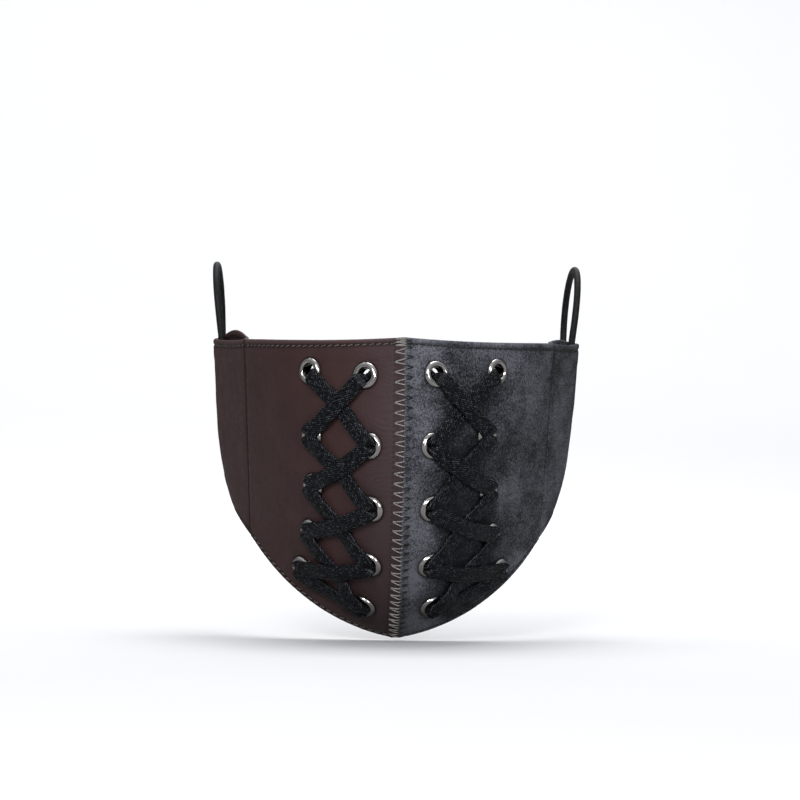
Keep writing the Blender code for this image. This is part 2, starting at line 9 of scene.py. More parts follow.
import bmesh
import bpy
import numpy as np
from mathutils import Matrix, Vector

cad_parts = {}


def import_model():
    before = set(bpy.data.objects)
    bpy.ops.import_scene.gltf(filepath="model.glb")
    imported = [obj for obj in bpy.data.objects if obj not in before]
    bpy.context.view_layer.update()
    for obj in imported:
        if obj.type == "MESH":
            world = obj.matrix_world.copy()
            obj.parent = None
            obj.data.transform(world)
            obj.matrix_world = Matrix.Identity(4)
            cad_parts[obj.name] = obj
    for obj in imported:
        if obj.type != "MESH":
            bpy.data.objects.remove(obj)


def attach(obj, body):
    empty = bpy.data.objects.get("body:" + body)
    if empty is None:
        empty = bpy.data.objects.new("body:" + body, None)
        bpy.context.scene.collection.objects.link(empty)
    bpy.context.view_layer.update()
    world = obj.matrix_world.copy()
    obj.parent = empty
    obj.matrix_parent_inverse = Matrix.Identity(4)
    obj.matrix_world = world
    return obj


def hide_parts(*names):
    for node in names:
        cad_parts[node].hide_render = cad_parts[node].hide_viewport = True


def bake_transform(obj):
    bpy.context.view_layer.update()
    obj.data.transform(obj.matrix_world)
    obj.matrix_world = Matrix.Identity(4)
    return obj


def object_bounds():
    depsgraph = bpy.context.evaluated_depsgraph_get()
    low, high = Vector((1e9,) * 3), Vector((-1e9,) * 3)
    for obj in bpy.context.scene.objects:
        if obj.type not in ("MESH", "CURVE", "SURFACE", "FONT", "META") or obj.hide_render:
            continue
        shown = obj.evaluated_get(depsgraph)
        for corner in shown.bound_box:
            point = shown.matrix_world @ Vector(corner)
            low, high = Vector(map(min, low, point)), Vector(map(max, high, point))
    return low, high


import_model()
cad_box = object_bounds()

MM = 0.001
ORIGIN = np.array([0.0, 62.0, -0.14])   # model point at the frame's origin
SIDES = {"brown": -1, "grey": 1}

# Cheek surface: the same seam curve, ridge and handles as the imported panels.
NOSE_RADIUS, NOSE_ANGLE = 176.0, radians(12)
CHIN_RADIUS, CHIN_ANGLE = 86.0, radians(65)
NOSE_HEIGHT = CHIN_RADIUS * sin(CHIN_ANGLE)
NOSE_LENGTH = NOSE_RADIUS * NOSE_ANGLE
SEAM_LENGTH = NOSE_LENGTH + CHIN_RADIUS * CHIN_ANGLE
SIDE_SEAM_TOP = np.array([59.0, 54.0, 112.7])
SIDE_SEAM_LOW = np.array([55.6, 73.0, 37.6])
RIDGE_TOP, RIDGE_LOW = radians(20), radians(10)
HANDLE_FRONT_TOP, HANDLE_FRONT_LOW, HANDLE_SIDE = 28.0, 26.0, 28.0
ROW_SPEED = 3 * HANDLE_FRONT_TOP        # millimetres per unit of u next to both seams

# Leather and lining layers.
LEATHER = 1.3
HEM_THICKNESS = 2.0
HEM_WIDTH = 8.0
HEM_STITCH = 2.35                       # stitch row below a turned edge
HEM_RADIUS = 1.0
SEAM_RADIUS = 0.6
SIDE_RADIUS = 0.55                      # both faces bevelled, so the casing can fold inward
LINING, LINING_GAP = 0.6, 0.12
LINING_EDGE = 1.7
HOLE_RADIUS = 3.6
GRID_STEP = 0.55
GRID_SIDE_END = 0.9985

# Relief of the leather.
HEM_GROOVE, HEM_PUFF, HEM_STEP = 0.20, 0.12, 0.16
PUCKER_PITCH = 3.1
EYELET_DENT = 0.30
CREASE_HEIGHT = 0.11
SEAM_INSET = 0.012                      # keeps the two halves apart on the centre seam

# Eyelets.
EYELETS = {
    "brown": {
        "inner": ((0.187, 0.109), (0.164, 0.313), (0.150, 0.500), (0.152, 0.686), (0.175, 0.865)),
        "outer": ((0.489, 0.113), (0.479, 0.340), (0.473, 0.519), (0.491, 0.696), (0.542, 0.872)),
    },
    "grey": {
        "inner": ((0.160, 0.102), (0.147, 0.308), (0.149, 0.496), (0.151, 0.685), (0.176, 0.862)),
        "outer": ((0.507, 0.108), (0.455, 0.325), (0.481, 0.530), (0.521, 0.716), (0.600, 0.903)),
    },
}
FLANGE_RADIUS = 5.1
BORE_RADIUS = 2.7
BARREL_DEPTH = 4.0
TURN_STEPS = 56

# Lace.
LACE_WIDTH, LACE_THICKNESS = 6.4, 1.1
STRAND_WIDTH, STRAND_THICKNESS = 3.7, 1.6
STRAND_OFFSET = 1.15
BEND_START = 3.4                        # the lace starts to dive this far from a bore's axis
LEVEL_RIM, LEVEL_LOW, LEVEL_HIGH, LEVEL_TOP = 2.05, 0.85, 2.35, 3.3
LACE_STEP = 0.3
LACE_SIDES = 64
LACE_YARNS, LACE_YARN_LENGTH = 16, 1.5
YARN_RELIEF, YARN_SINK = 0.20, 0.08
BOTTOM_BAR = 4                          # number of the strap between the lowest eyelets
STRAP_ARCH = 0.22
TRACK_STEPS = 121
BORE_OVERSHOOT, END_OVERSHOOT = 2.0, -0.6
DIVE_DEPTH, DIVE_LEAD, DIVE_RISE, DIVE_HANDLE = 0.9, 1.8, 0.5, 4.2
DIVE_STEPS = 18
BIGHT_DEPTH, BIGHT_WIDTH, BIGHT_SAG = 0.7, 1.35, 1.5
KNOT_DEPTH, KNOT_RADIUS, KNOT_TURNS, KNOT_PITCH = 1.5, 1.75, 1.8, 0.17
KNOT_SECTION, KNOT_TAIL = (2.3, 2.0), 6.0

# Side casing and ear loop.
CASING_WIDTH, CASING_NARROWING = 32.5, 15.8
CASING_HEM = 67.9
CASING_THICKNESS, CASING_WALL = 5.4, 1.1
CASING_GAP = 0.15
SIDE_SEAM_LENGTH = np.linalg.norm(SIDE_SEAM_LOW - SIDE_SEAM_TOP)
CASING_BEND = (CASING_THICKNESS - CASING_WALL) / 2
NECK_WIDTH, NECK_END, NECK_DEPTH = 9.0, 1.5, 1.95
BACK_LAYER_END = 56.0
TAPE_INSET, TAPE_THICKNESS, TAPE_BLEND = 1.0, 0.5, 0.6
TAPE_COLUMNS = (-5.0, -4.9, -4.7, -4.4, -3.6, -2.8, -2.0, -1.4, -0.9, -0.5, -0.2,
                0.1, 0.4, 0.8, 1.3, 1.9, 2.6, 3.3, 4.0, 4.3, 4.5, 4.6)
WEAVE_PITCH, WEAVE_RELIEF = 0.8, 0.03
MOUTH_RISE, MOUTH_DIP = {"brown": 2.9, "grey": 0.8}, 0.5
CASING_BULGE, CASING_BACK_BULGE = 0.35, 0.7
CORD_RADIUS, CORD_DEPTH = 1.3, 2.8
TUNNEL_TOP, TUNNEL_LOW = (0.0, 29.3), (56.0, 19.0)
LOOP_REAR_TOP, LOOP_REAR_LOW = np.array([67.4, 123.4, 114.0]), np.array([66.0, 123.4, 90.0])
LOOP_FRONT_HANDLE, LOOP_REAR_HANDLE = np.array([4.5, 0, 34.0]), np.array([0.5, 0, 34.0])
LOOP_UNDER = 30.0
LOOP_TURN = np.array([0.7, 8.0, -3.6])  # from the tunnel's lower end to the turn below it
LOOP_FORWARD = np.array([-0.15, -1.0, -0.12])
CORD_STEP, CORD_SIDES = 0.35, 32
CORD_YARNS, CORD_YARN_LENGTH = 8, 1.3
CORD_RELIEF, CORD_SINK = 0.10, 0.07

# Threads.
THREAD, GREY_THREAD, DITCH_THREAD = 0.23, 0.29, 0.17
THREAD_STEP, THREAD_SIDES = 0.17, 8
THREAD_HELPER = np.array([-0.31, -0.27, -0.91])   # no stitch runs this way
PLY_LENGTH, PLY_RELIEF = 0.9, 0.16
STITCH = 2.9
STITCH_SINK = 0.9
ZIGZAG_THREAD = 0.25
ZIGZAG_PITCH, ZIGZAG_REACH = 3.8, 3.9
TACK_PITCH = 0.6


# ---- numbers and vectors

def mix(a, b, t):
    """Straight blend from a to b."""
    return a * (1 - t) + b * t


def unit(vectors):
    """Vectors scaled to length one."""
    return vectors / np.linalg.norm(vectors, axis=-1, keepdims=True)


def ease(low, high, x):
    """Smooth step from 0 at low to 1 at high."""
    t = np.clip((x - low) / (high - low), 0, 1)
    return t * t * (3 - 2 * t)


def bump(x, centre, width):
    """Bell curve around a centre."""
    return np.exp(-(((x - centre) / width) ** 2))


def pulse(along, pitch, phase=0.0):
    """Wave between 0 and 1 with one crest in each pitch."""
    return 0.5 + 0.5 * np.cos(2 * pi * along / pitch + phase)


def bezier(p0, p1, p2, p3, t):
    """Cubic Bezier curve at the shares t."""
    w = 1 - t
    return w**3 * p0 + 3 * w * w * t * p1 + 3 * w * t * t * p2 + t**3 * p3


def looked_up(stops, distance, rows):
    """Each column of the rows, read at stops along the distance."""
    return np.stack([np.interp(stops, distance, column) for column in rows.T], -1)


def travelled(points, axis=0):
    """Distance along a polyline, or along each row or column of a grid of points."""
    legs = np.linalg.norm(np.diff(points, axis=axis), axis=-1)
    start = np.zeros_like(np.take(legs, [0], axis=axis))
    return np.concatenate([start, np.cumsum(legs, axis=axis)], axis=axis)


def cloud(x, y, seed):
    """Smooth random field between -1 and 1 with one swell per unit."""
    table = np.random.default_rng(seed).uniform(-1, 1, (64, 64))
    i, j = np.floor(x).astype(int), np.floor(y).astype(int)
    a, b = ease(0, 1, x - i), ease(0, 1, y - j)
    low = mix(table[i % 64, j % 64], table[(i + 1) % 64, j % 64], a)
    high = mix(table[i % 64, (j + 1) % 64], table[(i + 1) % 64, (j + 1) % 64], a)
    return mix(low, high, b)


def world(points, side):
    """Model points on the chosen side as frame metres."""
    return (points * np.array([side, 1, 1]) - ORIGIN) * MM


# ---- shape of the mask

def seam_curve(v):
    """Points on the centre seam and the angle its tangent has turned from straight down."""
    length = v * SEAM_LENGTH
    above = length < NOSE_LENGTH
    nose_turn = -NOSE_ANGLE * (1 - length / NOSE_LENGTH)
    turn = np.where(above, nose_turn, (length - NOSE_LENGTH) / CHIN_RADIUS)
    radius = np.where(above, NOSE_RADIUS, CHIN_RADIUS)
    middle = np.zeros_like(turn)
    return np.stack([middle, radius * (1 - np.cos(turn)), NOSE_HEIGHT - radius * np.sin(turn)], -1), turn


def cheek(u, v):
    """Outer leather surface."""
    u, v = np.broadcast_arrays(np.asarray(u, float), np.asarray(v, float))
    start, turn = seam_curve(v)
    ridge = mix(RIDGE_TOP, RIDGE_LOW, v * v)
    handle = mix(HANDLE_FRONT_TOP, HANDLE_FRONT_LOW, v)
    lean = np.sin(ridge) * handle
    first = start + np.stack([np.cos(ridge) * handle, lean * np.cos(turn), lean * np.sin(turn)], -1)
    end = mix(SIDE_SEAM_TOP, SIDE_SEAM_LOW, v[..., None])
    tangent = unit(mix(ACROSS, unit(0.9 * ACROSS - 0.63 * ALONG), (v * v)[..., None]))
    second = end - HANDLE_SIDE * tangent
    return bezier(start, first, second, end, u[..., None])


def outward(u, v):
    """Unit normals of the cheek surface, pointing out of the mask."""
    step = 1e-3
    du = cheek(u + step, v) - cheek(u - step, v)
    dv = cheek(u, v + step) - cheek(u, v - step)
    return -unit(np.cross(du, dv))


ALONG = unit(SIDE_SEAM_LOW - SIDE_SEAM_TOP)
ACROSS = unit(np.array([0.383, 0.924, 0.0]))
CASING_INWARD = unit(np.cross(ACROSS, ALONG))
CASING_INWARD = CASING_INWARD * -np.sign(CASING_INWARD[0])


def casing_point(along, across, depth):
    """Point on the casing: along its sewing line, across it, and inward."""
    along, across, depth = np.broadcast_arrays(along, across, depth)
    return (SIDE_SEAM_TOP + along[..., None] * ALONG + across[..., None] * ACROSS
            + depth[..., None] * CASING_INWARD)


def eyelet_places(colour):
    """All (column, number, u, v) of one half."""
    return [(column, number, u, v) for column, places in EYELETS[colour].items()
            for number, (u, v) in enumerate(places, start=1)]


# ---- meshes

def piece(name, points, face_sets, finish, fields=None):
    """Mesh object from frame points and arrays of faces, with outward faces and point fields."""
    used = np.unique(np.concatenate([faces.ravel() for faces in face_sets]))
    place = np.zeros(len(points), int)
    place[used] = np.arange(len(used))
    mesh = bpy.data.meshes.new(name)
    mesh.from_pydata(points[used], [], [face for faces in face_sets for face in place[faces].tolist()])
    for field, values in (fields or {}).items():
        kind = "FLOAT" if values.ndim == 1 else "FLOAT_VECTOR"
        layer = mesh.attributes.new(field, kind, "POINT")
        slot_name = "value" if kind == "FLOAT" else "vector"
        layer.data.foreach_set(slot_name, values[used].astype(np.float32).ravel())
    work = bmesh.new()
    work.from_mesh(mesh)
    bmesh.ops.recalc_face_normals(work, faces=work.faces)
    work.to_mesh(mesh)
    work.free()
    mesh.materials.append(finish)
    mesh.shade_smooth()
    mesh.set_sharp_from_angle(angle=radians(60))
    thing = bpy.data.objects.new(name, mesh)
    bpy.context.scene.collection.objects.link(thing)
    return thing


def settle(thing, body, slot, *nodes):
    """The piece rides on a body and stands for CAD nodes, which are hidden; slot is not used."""
    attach(thing, body)
    if nodes:
        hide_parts(*nodes)
    return thing


def sheet(outer, inner, keep=None):
    """Points and faces of a closed slab between two equal grids; keep says which cells exist."""
    rows, columns = outer.shape[:2]
    index = np.arange(rows * columns).reshape(rows, columns)
    cells = np.stack([index[:-1, :-1], index[:-1, 1:], index[1:, 1:], index[1:, :-1]], -1)
    quads = cells.reshape(-1, 4) if keep is None else cells[keep]
    total = rows * columns
    walls = open_edges(quads)
    walls = np.concatenate([walls, walls[:, ::-1] + total], 1)
    points = np.concatenate([outer.reshape(-1, 3), inner.reshape(-1, 3)])
    return points, [quads, quads[:, ::-1] + total, walls]


def slab(name, outer, inner, side, finish, fields, keep=None):
    """Piece between two equal grids of model points; its fields are grids that hold for both faces."""
    solid, faces = sheet(world(outer, side), world(inner, side), keep)
    flat = {key: values.reshape(-1, *values.shape[2:]) for key, values in fields.items()}
    return piece(name, solid, faces, finish, {key: np.concatenate([row, row]) for key, row in flat.items()})


def open_edges(quads):
    """Edges that belong to one face only, as pairs of points."""
    edges = np.concatenate([quads[:, [k, (k + 1) % 4]] for k in range(4)])
    ordered = np.sort(edges, axis=1)
    first, counts = np.unique(ordered, axis=0, return_index=True, return_counts=True)[1:]
    return edges[first[counts == 1]]


def tube(rings, closed=False):
    """Points and faces of a tube through equal rings of points, capped when it is open."""
    count, sides = rings.shape[:2]
    index = np.arange(count * sides).reshape(count, sides)
    ahead = np.roll(index, -1, axis=0) if closed else index[1:]
    here = index if closed else index[:-1]
    corners = [here, np.roll(here, -1, axis=1), np.roll(ahead, -1, axis=1), ahead]
    quads = np.stack(corners, -1).reshape(-1, 4)
    points = rings.reshape(-1, 3)
    if closed:
        return points, [quads]
    middles = rings[[0, -1]].mean(axis=1)
    caps = []
    for middle, row in ((len(points), index[0]), (len(points) + 1, index[-1])):
        caps.append(np.stack([np.full(sides, middle), row, np.roll(row, -1)], -1))
    return np.concatenate([points, middles]), [quads, np.concatenate(caps)]


def round_rings(centres, direction, helper, angle, radius):
    """Rings of points round a centre line, at the given angles and radii."""
    across = unit(np.cross(helper, direction))
    above = np.cross(direction, across)
    arms = np.cos(angle)[:, None] * across[:, None] + np.sin(angle)[:, None] * above[:, None]
    return centres[:, None] + radius[..., None] * arms


def joined(solids):
    """Several (points, faces) solids as one."""
    points, quads, triangles, count = [], [], [], 0
    for solid_points, face_sets in solids:
        for faces in face_sets:
            (quads if faces.shape[1] == 4 else triangles).append(faces + count)
        points.append(solid_points)
        count += len(solid_points)
    sets = [np.concatenate(faces) for faces in (quads, triangles) if faces]
    return np.concatenate(points), sets


def resampled(points, step, closed=False):
    """Polyline with even spacing close to the step."""
    path = np.concatenate([points, points[:1]]) if closed else points
    distance = travelled(path)
    stops = np.linspace(0, distance[-1], max(int(round(distance[-1] / step)), 3) + 1)
    made = looked_up(stops, distance, path)
    return made[:-1] if closed else made


def softened(values, reach, closed=False):
    """Running average along the first axis, weighted by a bell of the given reach in steps."""
    span = int(3 * reach)
    weights = bump(np.arange(-span, span + 1), 0, reach * 1.414)
    weights /= weights.sum()
    mode = "wrap" if closed else "edge"
    padded = np.pad(values, ((span, span), (0, 0)), mode=mode)
    return np.stack([np.convolve(padded[:, k], weights, "valid") for k in range(values.shape[1])], -1)


def braid(along, around, yarns):
    """Height between 0 and 1 of two families of yarns plaited over and under each other."""
    first, second = along + around * yarns, along - around * yarns
    over = (np.floor(first) + np.floor(second)) % 2 < 0.5
    a, b = first % 1, second % 1
    across, lengthwise = np.where(over, a, b), np.where(over, b, a)
    return (1 - (2 * across - 1) ** 2) * (1 - 0.45 * (2 * lengthwise - 1) ** 2)


def plaited(along, around, yarns):
    """Height of the plait at each point of a cord, and the weave coordinates that its finish reads."""
    crowns = braid(along, around, yarns)
    grid = np.stack(np.broadcast_arrays(along, around * yarns, crowns), -1)
    return crowns, grid.reshape(-1, 3)


# ---- leather halves and lining

def roll(distance, radius):
    """How far an edge has rolled down at a distance from it."""
    rest = np.clip(radius - distance, 0, radius)
    return radius - np.sqrt(radius**2 - rest**2)


def grid_lines(length):
    """Distances from 0 to a length, close together near both ends to carry the rolled edges."""
    near = np.array([0, 0.04, 0.12, 0.25, 0.42, 0.62, 0.85, 1.15, 1.55, 2.0])
    middle = np.linspace(near[-1], length - near[-1], int((length - 2 * near[-1]) / GRID_STEP) + 1)
    return np.concatenate([near, middle[1:-1], length - near[::-1]])


def hem_relief(distance, along):
    """Puffed hem and stitched groove beside a turned edge; the groove is deepest at the needle holes."""
    hole = pulse(along, STITCH)
    groove = HEM_GROOVE * (1 + hole) * bump(distance, HEM_STITCH, 0.42)
    puff = HEM_PUFF * (1 - 0.6 * hole) * bump(distance, 1.25, 0.6)
    fold_end = HEM_STEP * (1 - ease(HEM_WIDTH - 1.2, HEM_WIDTH + 0.8, distance))
    return puff - groove + fold_end


def puckers(along, distance, height, fade, drift):
    """Small gathers that the sewing draws into the leather beside a seam."""
    wave = np.sin(2 * pi * along / PUCKER_PITCH + drift)
    return height * wave * np.exp(-distance / fade) * ease(0, 1.2, distance)


def around_eyelets(points, colour, radius, width):
    """Bell-shaped ring of the given radius round each eyelet, summed over the half's eyelets."""
    return sum(bump(np.linalg.norm(points - cheek(u, v), axis=-1), radius, width)
               for _, _, u, v in eyelet_places(colour))


def leather_relief(colour, v, reach, points):
    """Height of the leather's own folds, dents and wrinkles over the plain surface."""
    top, low, seam, side_seam, across, down = reach
    height = hem_relief(top, across) + hem_relief(low, across)
    height -= 0.16 * pulse(down, ZIGZAG_PITCH / 2, pi) * bump(seam, ZIGZAG_REACH, 0.45)
    height += 0.10 * bump(seam, 1.5, 0.8) + 0.16 * bump(side_seam, 2.6, 1.6)
    height += puckers(down, side_seam, 0.09, 2.6, 1.3 * np.sin(down / 9))
    height += 0.28 * cloud(across / 17, down / 21, 3) * ease(1, 12, np.minimum(top, low))
    height += 0.07 * cloud(across / 6, down / 7, 8)
    height -= EYELET_DENT * around_eyelets(points, colour, 4.6, 2.3)
    if colour == "brown":
        height += CREASE_HEIGHT * creases(v, across, down)
    return height


def creases(v, across, down):
    """Fine level creases of the brown leather beside the centre seam, between -1 and 1."""
    where = bump(across, 9, 6) * bump(v, 0.36, 0.22) + 0.6 * bump(across, 11, 8) * bump(v, 0.06, 0.09)
    wave = down / 1.9 + 1.6 * cloud(across / 8, down / 5, 21) + across * 0.05
    return where * np.sin(2 * pi * wave) * (0.6 + 0.4 * cloud(across / 3, down / 2, 5))


def edge_distances(points):
    """Distances of grid points to the top, chin, centre seam and side seam, then across and down."""
    across, down = travelled(points, axis=1), travelled(points, axis=0)
    return down, down[-1:] - down, across, across[:, -1:] - across, across, down


def punched(points, colour):
    """Cells kept around the eyelet holes; points on each hole's edge are moved onto a circle."""
    middle = (points[:-1, :-1] + points[1:, 1:] + points[:-1, 1:] + points[1:, :-1]) / 4
    keep = np.ones(middle.shape[:2], bool)
    for _, _, u, v in eyelet_places(colour):
        centre = cheek(u, v)
        keep &= np.linalg.norm(middle - centre, axis=-1) > HOLE_RADIUS
    rim = np.zeros(points.shape[:2], int)
    for row, column in ((0, 0), (0, 1), (1, 0), (1, 1)):
        rim[row:row + keep.shape[0], column:column + keep.shape[1]] += keep
    for _, _, u, v in eyelet_places(colour):
        arm = points - cheek(u, v)
        near = (np.linalg.norm(arm, axis=-1) < HOLE_RADIUS + 1.5) & (rim > 0) & (rim < 4)
        axis = outward(u, v)
        flat = arm[near] - (arm[near] @ axis)[:, None] * axis
        points[near] += flat * (HOLE_RADIUS / np.linalg.norm(flat, axis=-1, keepdims=True) - 1)
    return keep


def layer(points, normals, depth):
    """Grid at a depth below the surface, mitred on the centre seam."""
    made = points - normals * depth[..., None]
    made[..., 0] = np.maximum(made[..., 0], SEAM_INSET)
    return made


def leather_half(colour, side, finish):
    """Front half with turned hems, a stitched groove, eyelet dents and rolled seam edges."""
    across = grid_lines(ROW_SPEED) / ROW_SPEED * GRID_SIDE_END
    down = grid_lines(SEAM_LENGTH) / SEAM_LENGTH
    u, v = np.meshgrid(across, down)
    points, normals = cheek(u, v), outward(u, v)
    reach = edge_distances(points)
    top, low, seam, side_seam = reach[:4]
    hem = np.minimum(top, low)
    relief = leather_relief(colour, v, reach, points)
    relief *= ease(0.2, 1.5, np.minimum(seam, side_seam)) * ease(0, 1.2, hem)
    keep = punched(points, colour)
    thickness = mix(HEM_THICKNESS, LEATHER, ease(HEM_WIDTH - 0.4, HEM_WIDTH + 0.6, hem))
    edge = np.maximum.reduce([roll(hem, HEM_RADIUS), roll(seam, SEAM_RADIUS), roll(side_seam, SIDE_RADIUS)])
    outer = layer(points, normals, edge - relief)
    inner = layer(points, normals, thickness - edge - relief * 0.5)
    # the ring round each flange is painted shadow round the eyelet
    fields = leather_fields(u, v, reach, around_eyelets(points, colour, FLANGE_RADIUS - 0.1, 0.55))
    thing = slab(f"{colour}_leather_half", outer, inner, side, finish, fields, keep)
    return settle(thing, "mask_body", f"{colour}_leather", f"{colour}_front_panel")


def leather_fields(u, v, reach, rings=0.0):
    """Fields that the leather finishes read: tone with painted shadow and highlight, painted highlight on the
    turned edge, painted shade in grooves and round the eyelets, and painted highlight along the centre seam.
    """
    top, low, seam, side_seam, across, down = reach
    hem = np.minimum(top, low)
    # painted shade in the hem stitch groove and along the side seam
    stitch_groove_shade = np.maximum(bump(hem, HEM_STITCH, 0.75), 0.8 * (1 - ease(0.1, 1.0, side_seam)))
    # painted highlight along the lit centre seam ridge, read only by the brown finish
    seam_highlight = (1 - ease(2, 26, seam)) * (0.6 + 0.4 * ease(0.05, 0.25, v))
    return {
        # tone: grey leather lightness, with painted shadow and painted highlight
        "tone": grey_tone(u, v, across, down),
        # edge: painted highlight on the rolled turned edge
        "edge": 1 - ease(0.6, HEM_STITCH - 0.3, hem),
        # groove: painted shade in stitch grooves, under the zigzag and round each eyelet flange
        "groove": stitch_groove_shade + needle_shade(seam, down) + 0.75 * rings,
        # seam: painted highlight along the centre seam, lighter still on the crests of the creases
        "seam": seam_highlight * (1 + 0.9 * creases(v, across, down)),
    }


def needle_shade(seam, down):
    """Painted shade: a dark band and dark needle holes under the zigzag of the centre seam."""
    hole = pulse(down, ZIGZAG_PITCH / 2, pi) ** 2
    return 0.34 * (1 - ease(1.9, 4.2, seam)) + 0.8 * hole * bump(seam, ZIGZAG_REACH, 0.5)


def grey_tone(u, v, across, down):
    """Lightness of the grey leather: painted shadow, dark under the lace, and painted highlight, pale along
    the centre seam.
    """
    drift = 0.05 * cloud(across / 9, down / 12, 4)
    # painted shadow under the lace
    shadow = ease(0.10, 0.27, u + drift) * (1 - ease(0.42, 0.64, u + drift))
    shadow *= 0.35 + 0.65 * ease(0.04, 0.30, v)
    # painted highlight along the lit centre seam ridge
    painted_ridge_light = (1 - ease(0.05, 0.24, u)) * (0.6 + 0.4 * ease(0.0, 0.35, v))
    tone = 0.56 - 0.43 * shadow + 0.17 * painted_ridge_light
    tone += 0.08 * (1 - ease(0.0, 0.12, v)) + 0.10 * ease(0.88, 1.0, v)
    tone += 0.16 * cloud(across / 14, down / 11, 12) + 0.10 * cloud(across / 5, down / 4, 13)
    return np.clip(tone, 0, 1)


def lining_half(colour, side, finish):
    """Cotton lining with its edges turned under, lying against the leather."""
    length = ROW_SPEED - 2 * LINING_EDGE
    middle = np.linspace(0.8, length - 0.8, 110)
    across = np.concatenate([[0.0, 0.05, 0.15, 0.3, 0.5], middle, [length - 0.3, length]])
    down = grid_lines(SEAM_LENGTH - 2 * LINING_EDGE)
    u, v = np.meshgrid((across + 0.15) / ROW_SPEED, (down + LINING_EDGE) / SEAM_LENGTH)
    points, normals = cheek(u, v), outward(u, v)
    top, low, _, side_seam, sideways, downward = edge_distances(points)
    hem = np.minimum(top, low)
    keep = punched(points, colour)
    back = mix(HEM_THICKNESS, LEATHER, ease(HEM_WIDTH - 2.4, HEM_WIDTH - 0.6, hem)) + LINING_GAP
    ripple = 0.10 * np.sin(2 * pi * sideways / STITCH) * np.exp(-hem / 2.5)
    ripple += 0.12 * cloud(sideways / 9, downward / 11, 31)
    weave = 0.05 * np.sin(2 * pi * sideways / 1.5) * np.sin(2 * pi * downward / 1.5)
    edge = np.maximum(roll(hem, 0.3), roll(side_seam, 0.3))
    outer = layer(points, normals, back + 0.5 * edge)
    inner = layer(points, normals, back + LINING + ripple + weave - edge)
    weft = np.stack([sideways, downward, 0 * downward], -1)
    thing = slab(f"{colour}_lining_half", outer, inner, side, finish, {"weft": weft}, keep)
    return settle(thing, "mask_body", "lining_cotton", f"{colour}_lining")


# ---- eyelets

def rounded(outline, times):
    """Closed outline with its corners cut, once for each time."""
    for _ in range(times):
        ahead = np.roll(outline, -1, axis=0)
        pairs = np.stack([mix(outline, ahead, 0.25), mix(outline, ahead, 0.75)], 1)
        outline = pairs.reshape(-1, outline.shape[1])
    return outline


def turned(profile):
    """Solid of a closed (radius, height) profile turned about local Z."""
    angle = np.linspace(0, 2 * pi, TURN_STEPS, endpoint=False)[:, None]
    rings = np.stack([profile[:, 0] * np.cos(angle), profile[:, 0] * np.sin(angle),
                      np.broadcast_to(profile[:, 1], (TURN_STEPS, len(profile)))], -1)
    return tube(rings, closed=True)


def eyelet_profile():
    """Domed flange, straight bore and a clinched curl at the inner end."""
    end = -BARREL_DEPTH
    return rounded(np.array([
        (FLANGE_RADIUS + 0.04, -0.12), (FLANGE_RADIUS + 0.02, 0.35), (4.85, 0.85), (4.35, 1.28), (3.75, 1.42),
        (3.2, 1.30), (BORE_RADIUS + 0.08, 0.85), (BORE_RADIUS, 0.3), (BORE_RADIUS, -1.8),
        (BORE_RADIUS, end + 0.6), (2.85, end + 0.05), (3.3, end - 0.2), (3.75, end + 0.1),
        (3.7, end + 0.5), (3.35, end + 0.45), (3.05, end + 0.9), (3.05, -0.15), (3.4, -0.12)]), 2)


def washer_profile():
    """Thin dished ring under the curl."""
    top, low = -2.55, -3.1
    return rounded(np.array([(4.7, top - 0.25), (4.6, top), (4.0, top + 0.1), (3.4, top), (3.3, low + 0.2),
                             (3.6, low), (4.3, low), (4.7, low + 0.1)]), 1)


def eyelet_matrix(u, v, side):
    """Rotation and place of an eyelet: local Z points out of the leather."""
    axis = outward(u, v) * np.array([side, 1, 1])
    sideways = unit(np.cross(np.array([0, 0, 1.0]), axis))
    turn = np.stack([sideways, np.cross(axis, sideways), axis], 1)
    return turn, world(cheek(u, v), side)


def add_eyelets(colour, side, metal):
    """Every eyelet and washer of one half."""
    kinds = (("eyelet", "ring", eyelet_profile()), ("washer", "backing", washer_profile()))
    for column, number, u, v in eyelet_places(colour):
        turn, centre = eyelet_matrix(u, v, side)
        for kind, name, profile in kinds:
            points, faces = turned(profile)
            inside = np.linalg.norm(points[:, :2], axis=1) < BORE_RADIUS + 0.2
            # bore: painted shade down the inside of the bore
            fields = {"bore": inside * (1 - ease(-0.4, 0.9, points[:, 2]))}
            points = points @ turn.T * MM + centre
            thing = piece(f"{colour}_{column}_{name}_{number}", points, faces, metal, fields)
            settle(thing, "mask_body", "eyelet_metal", f"{colour}_{column}_{kind}_{number}")


# ---- laces

def lace_path(colour):
    """Eyelets in lacing order: down one way, across the bottom bar, and up the other."""
    inner, outer = EYELETS[colour]["inner"], EYELETS[colour]["outer"]
    down = [outer[0], inner[1], outer[2], inner[3], outer[4]]
    up = [inner[4], outer[3], inner[2], outer[1], inner[0]]
    return down + up


def strap_levels(index):
    """Height stops (share of the strap, height); straps down from the inner column pass on top."""
    if index == BOTTOM_BAR:
        start, middle, leave, arrive = LEVEL_RIM, LEVEL_LOW, (0.22, 0.36), 0.66
    elif index == BOTTOM_BAR + 1:
        start, middle, leave, arrive = LEVEL_TOP, LEVEL_LOW, (0.2, 0.4), 0.64
    elif (index < BOTTOM_BAR) == (index % 2 == 0):
        start, middle, leave, arrive = LEVEL_RIM, LEVEL_LOW, (0.2, 0.36), 0.64
    else:
        start, middle, leave, arrive = LEVEL_RIM, LEVEL_HIGH, (0.2, 0.35), 0.65
    return (0, *leave, arrive, 0.8, 1), (start, start, middle, middle, LEVEL_RIM, LEVEL_RIM)


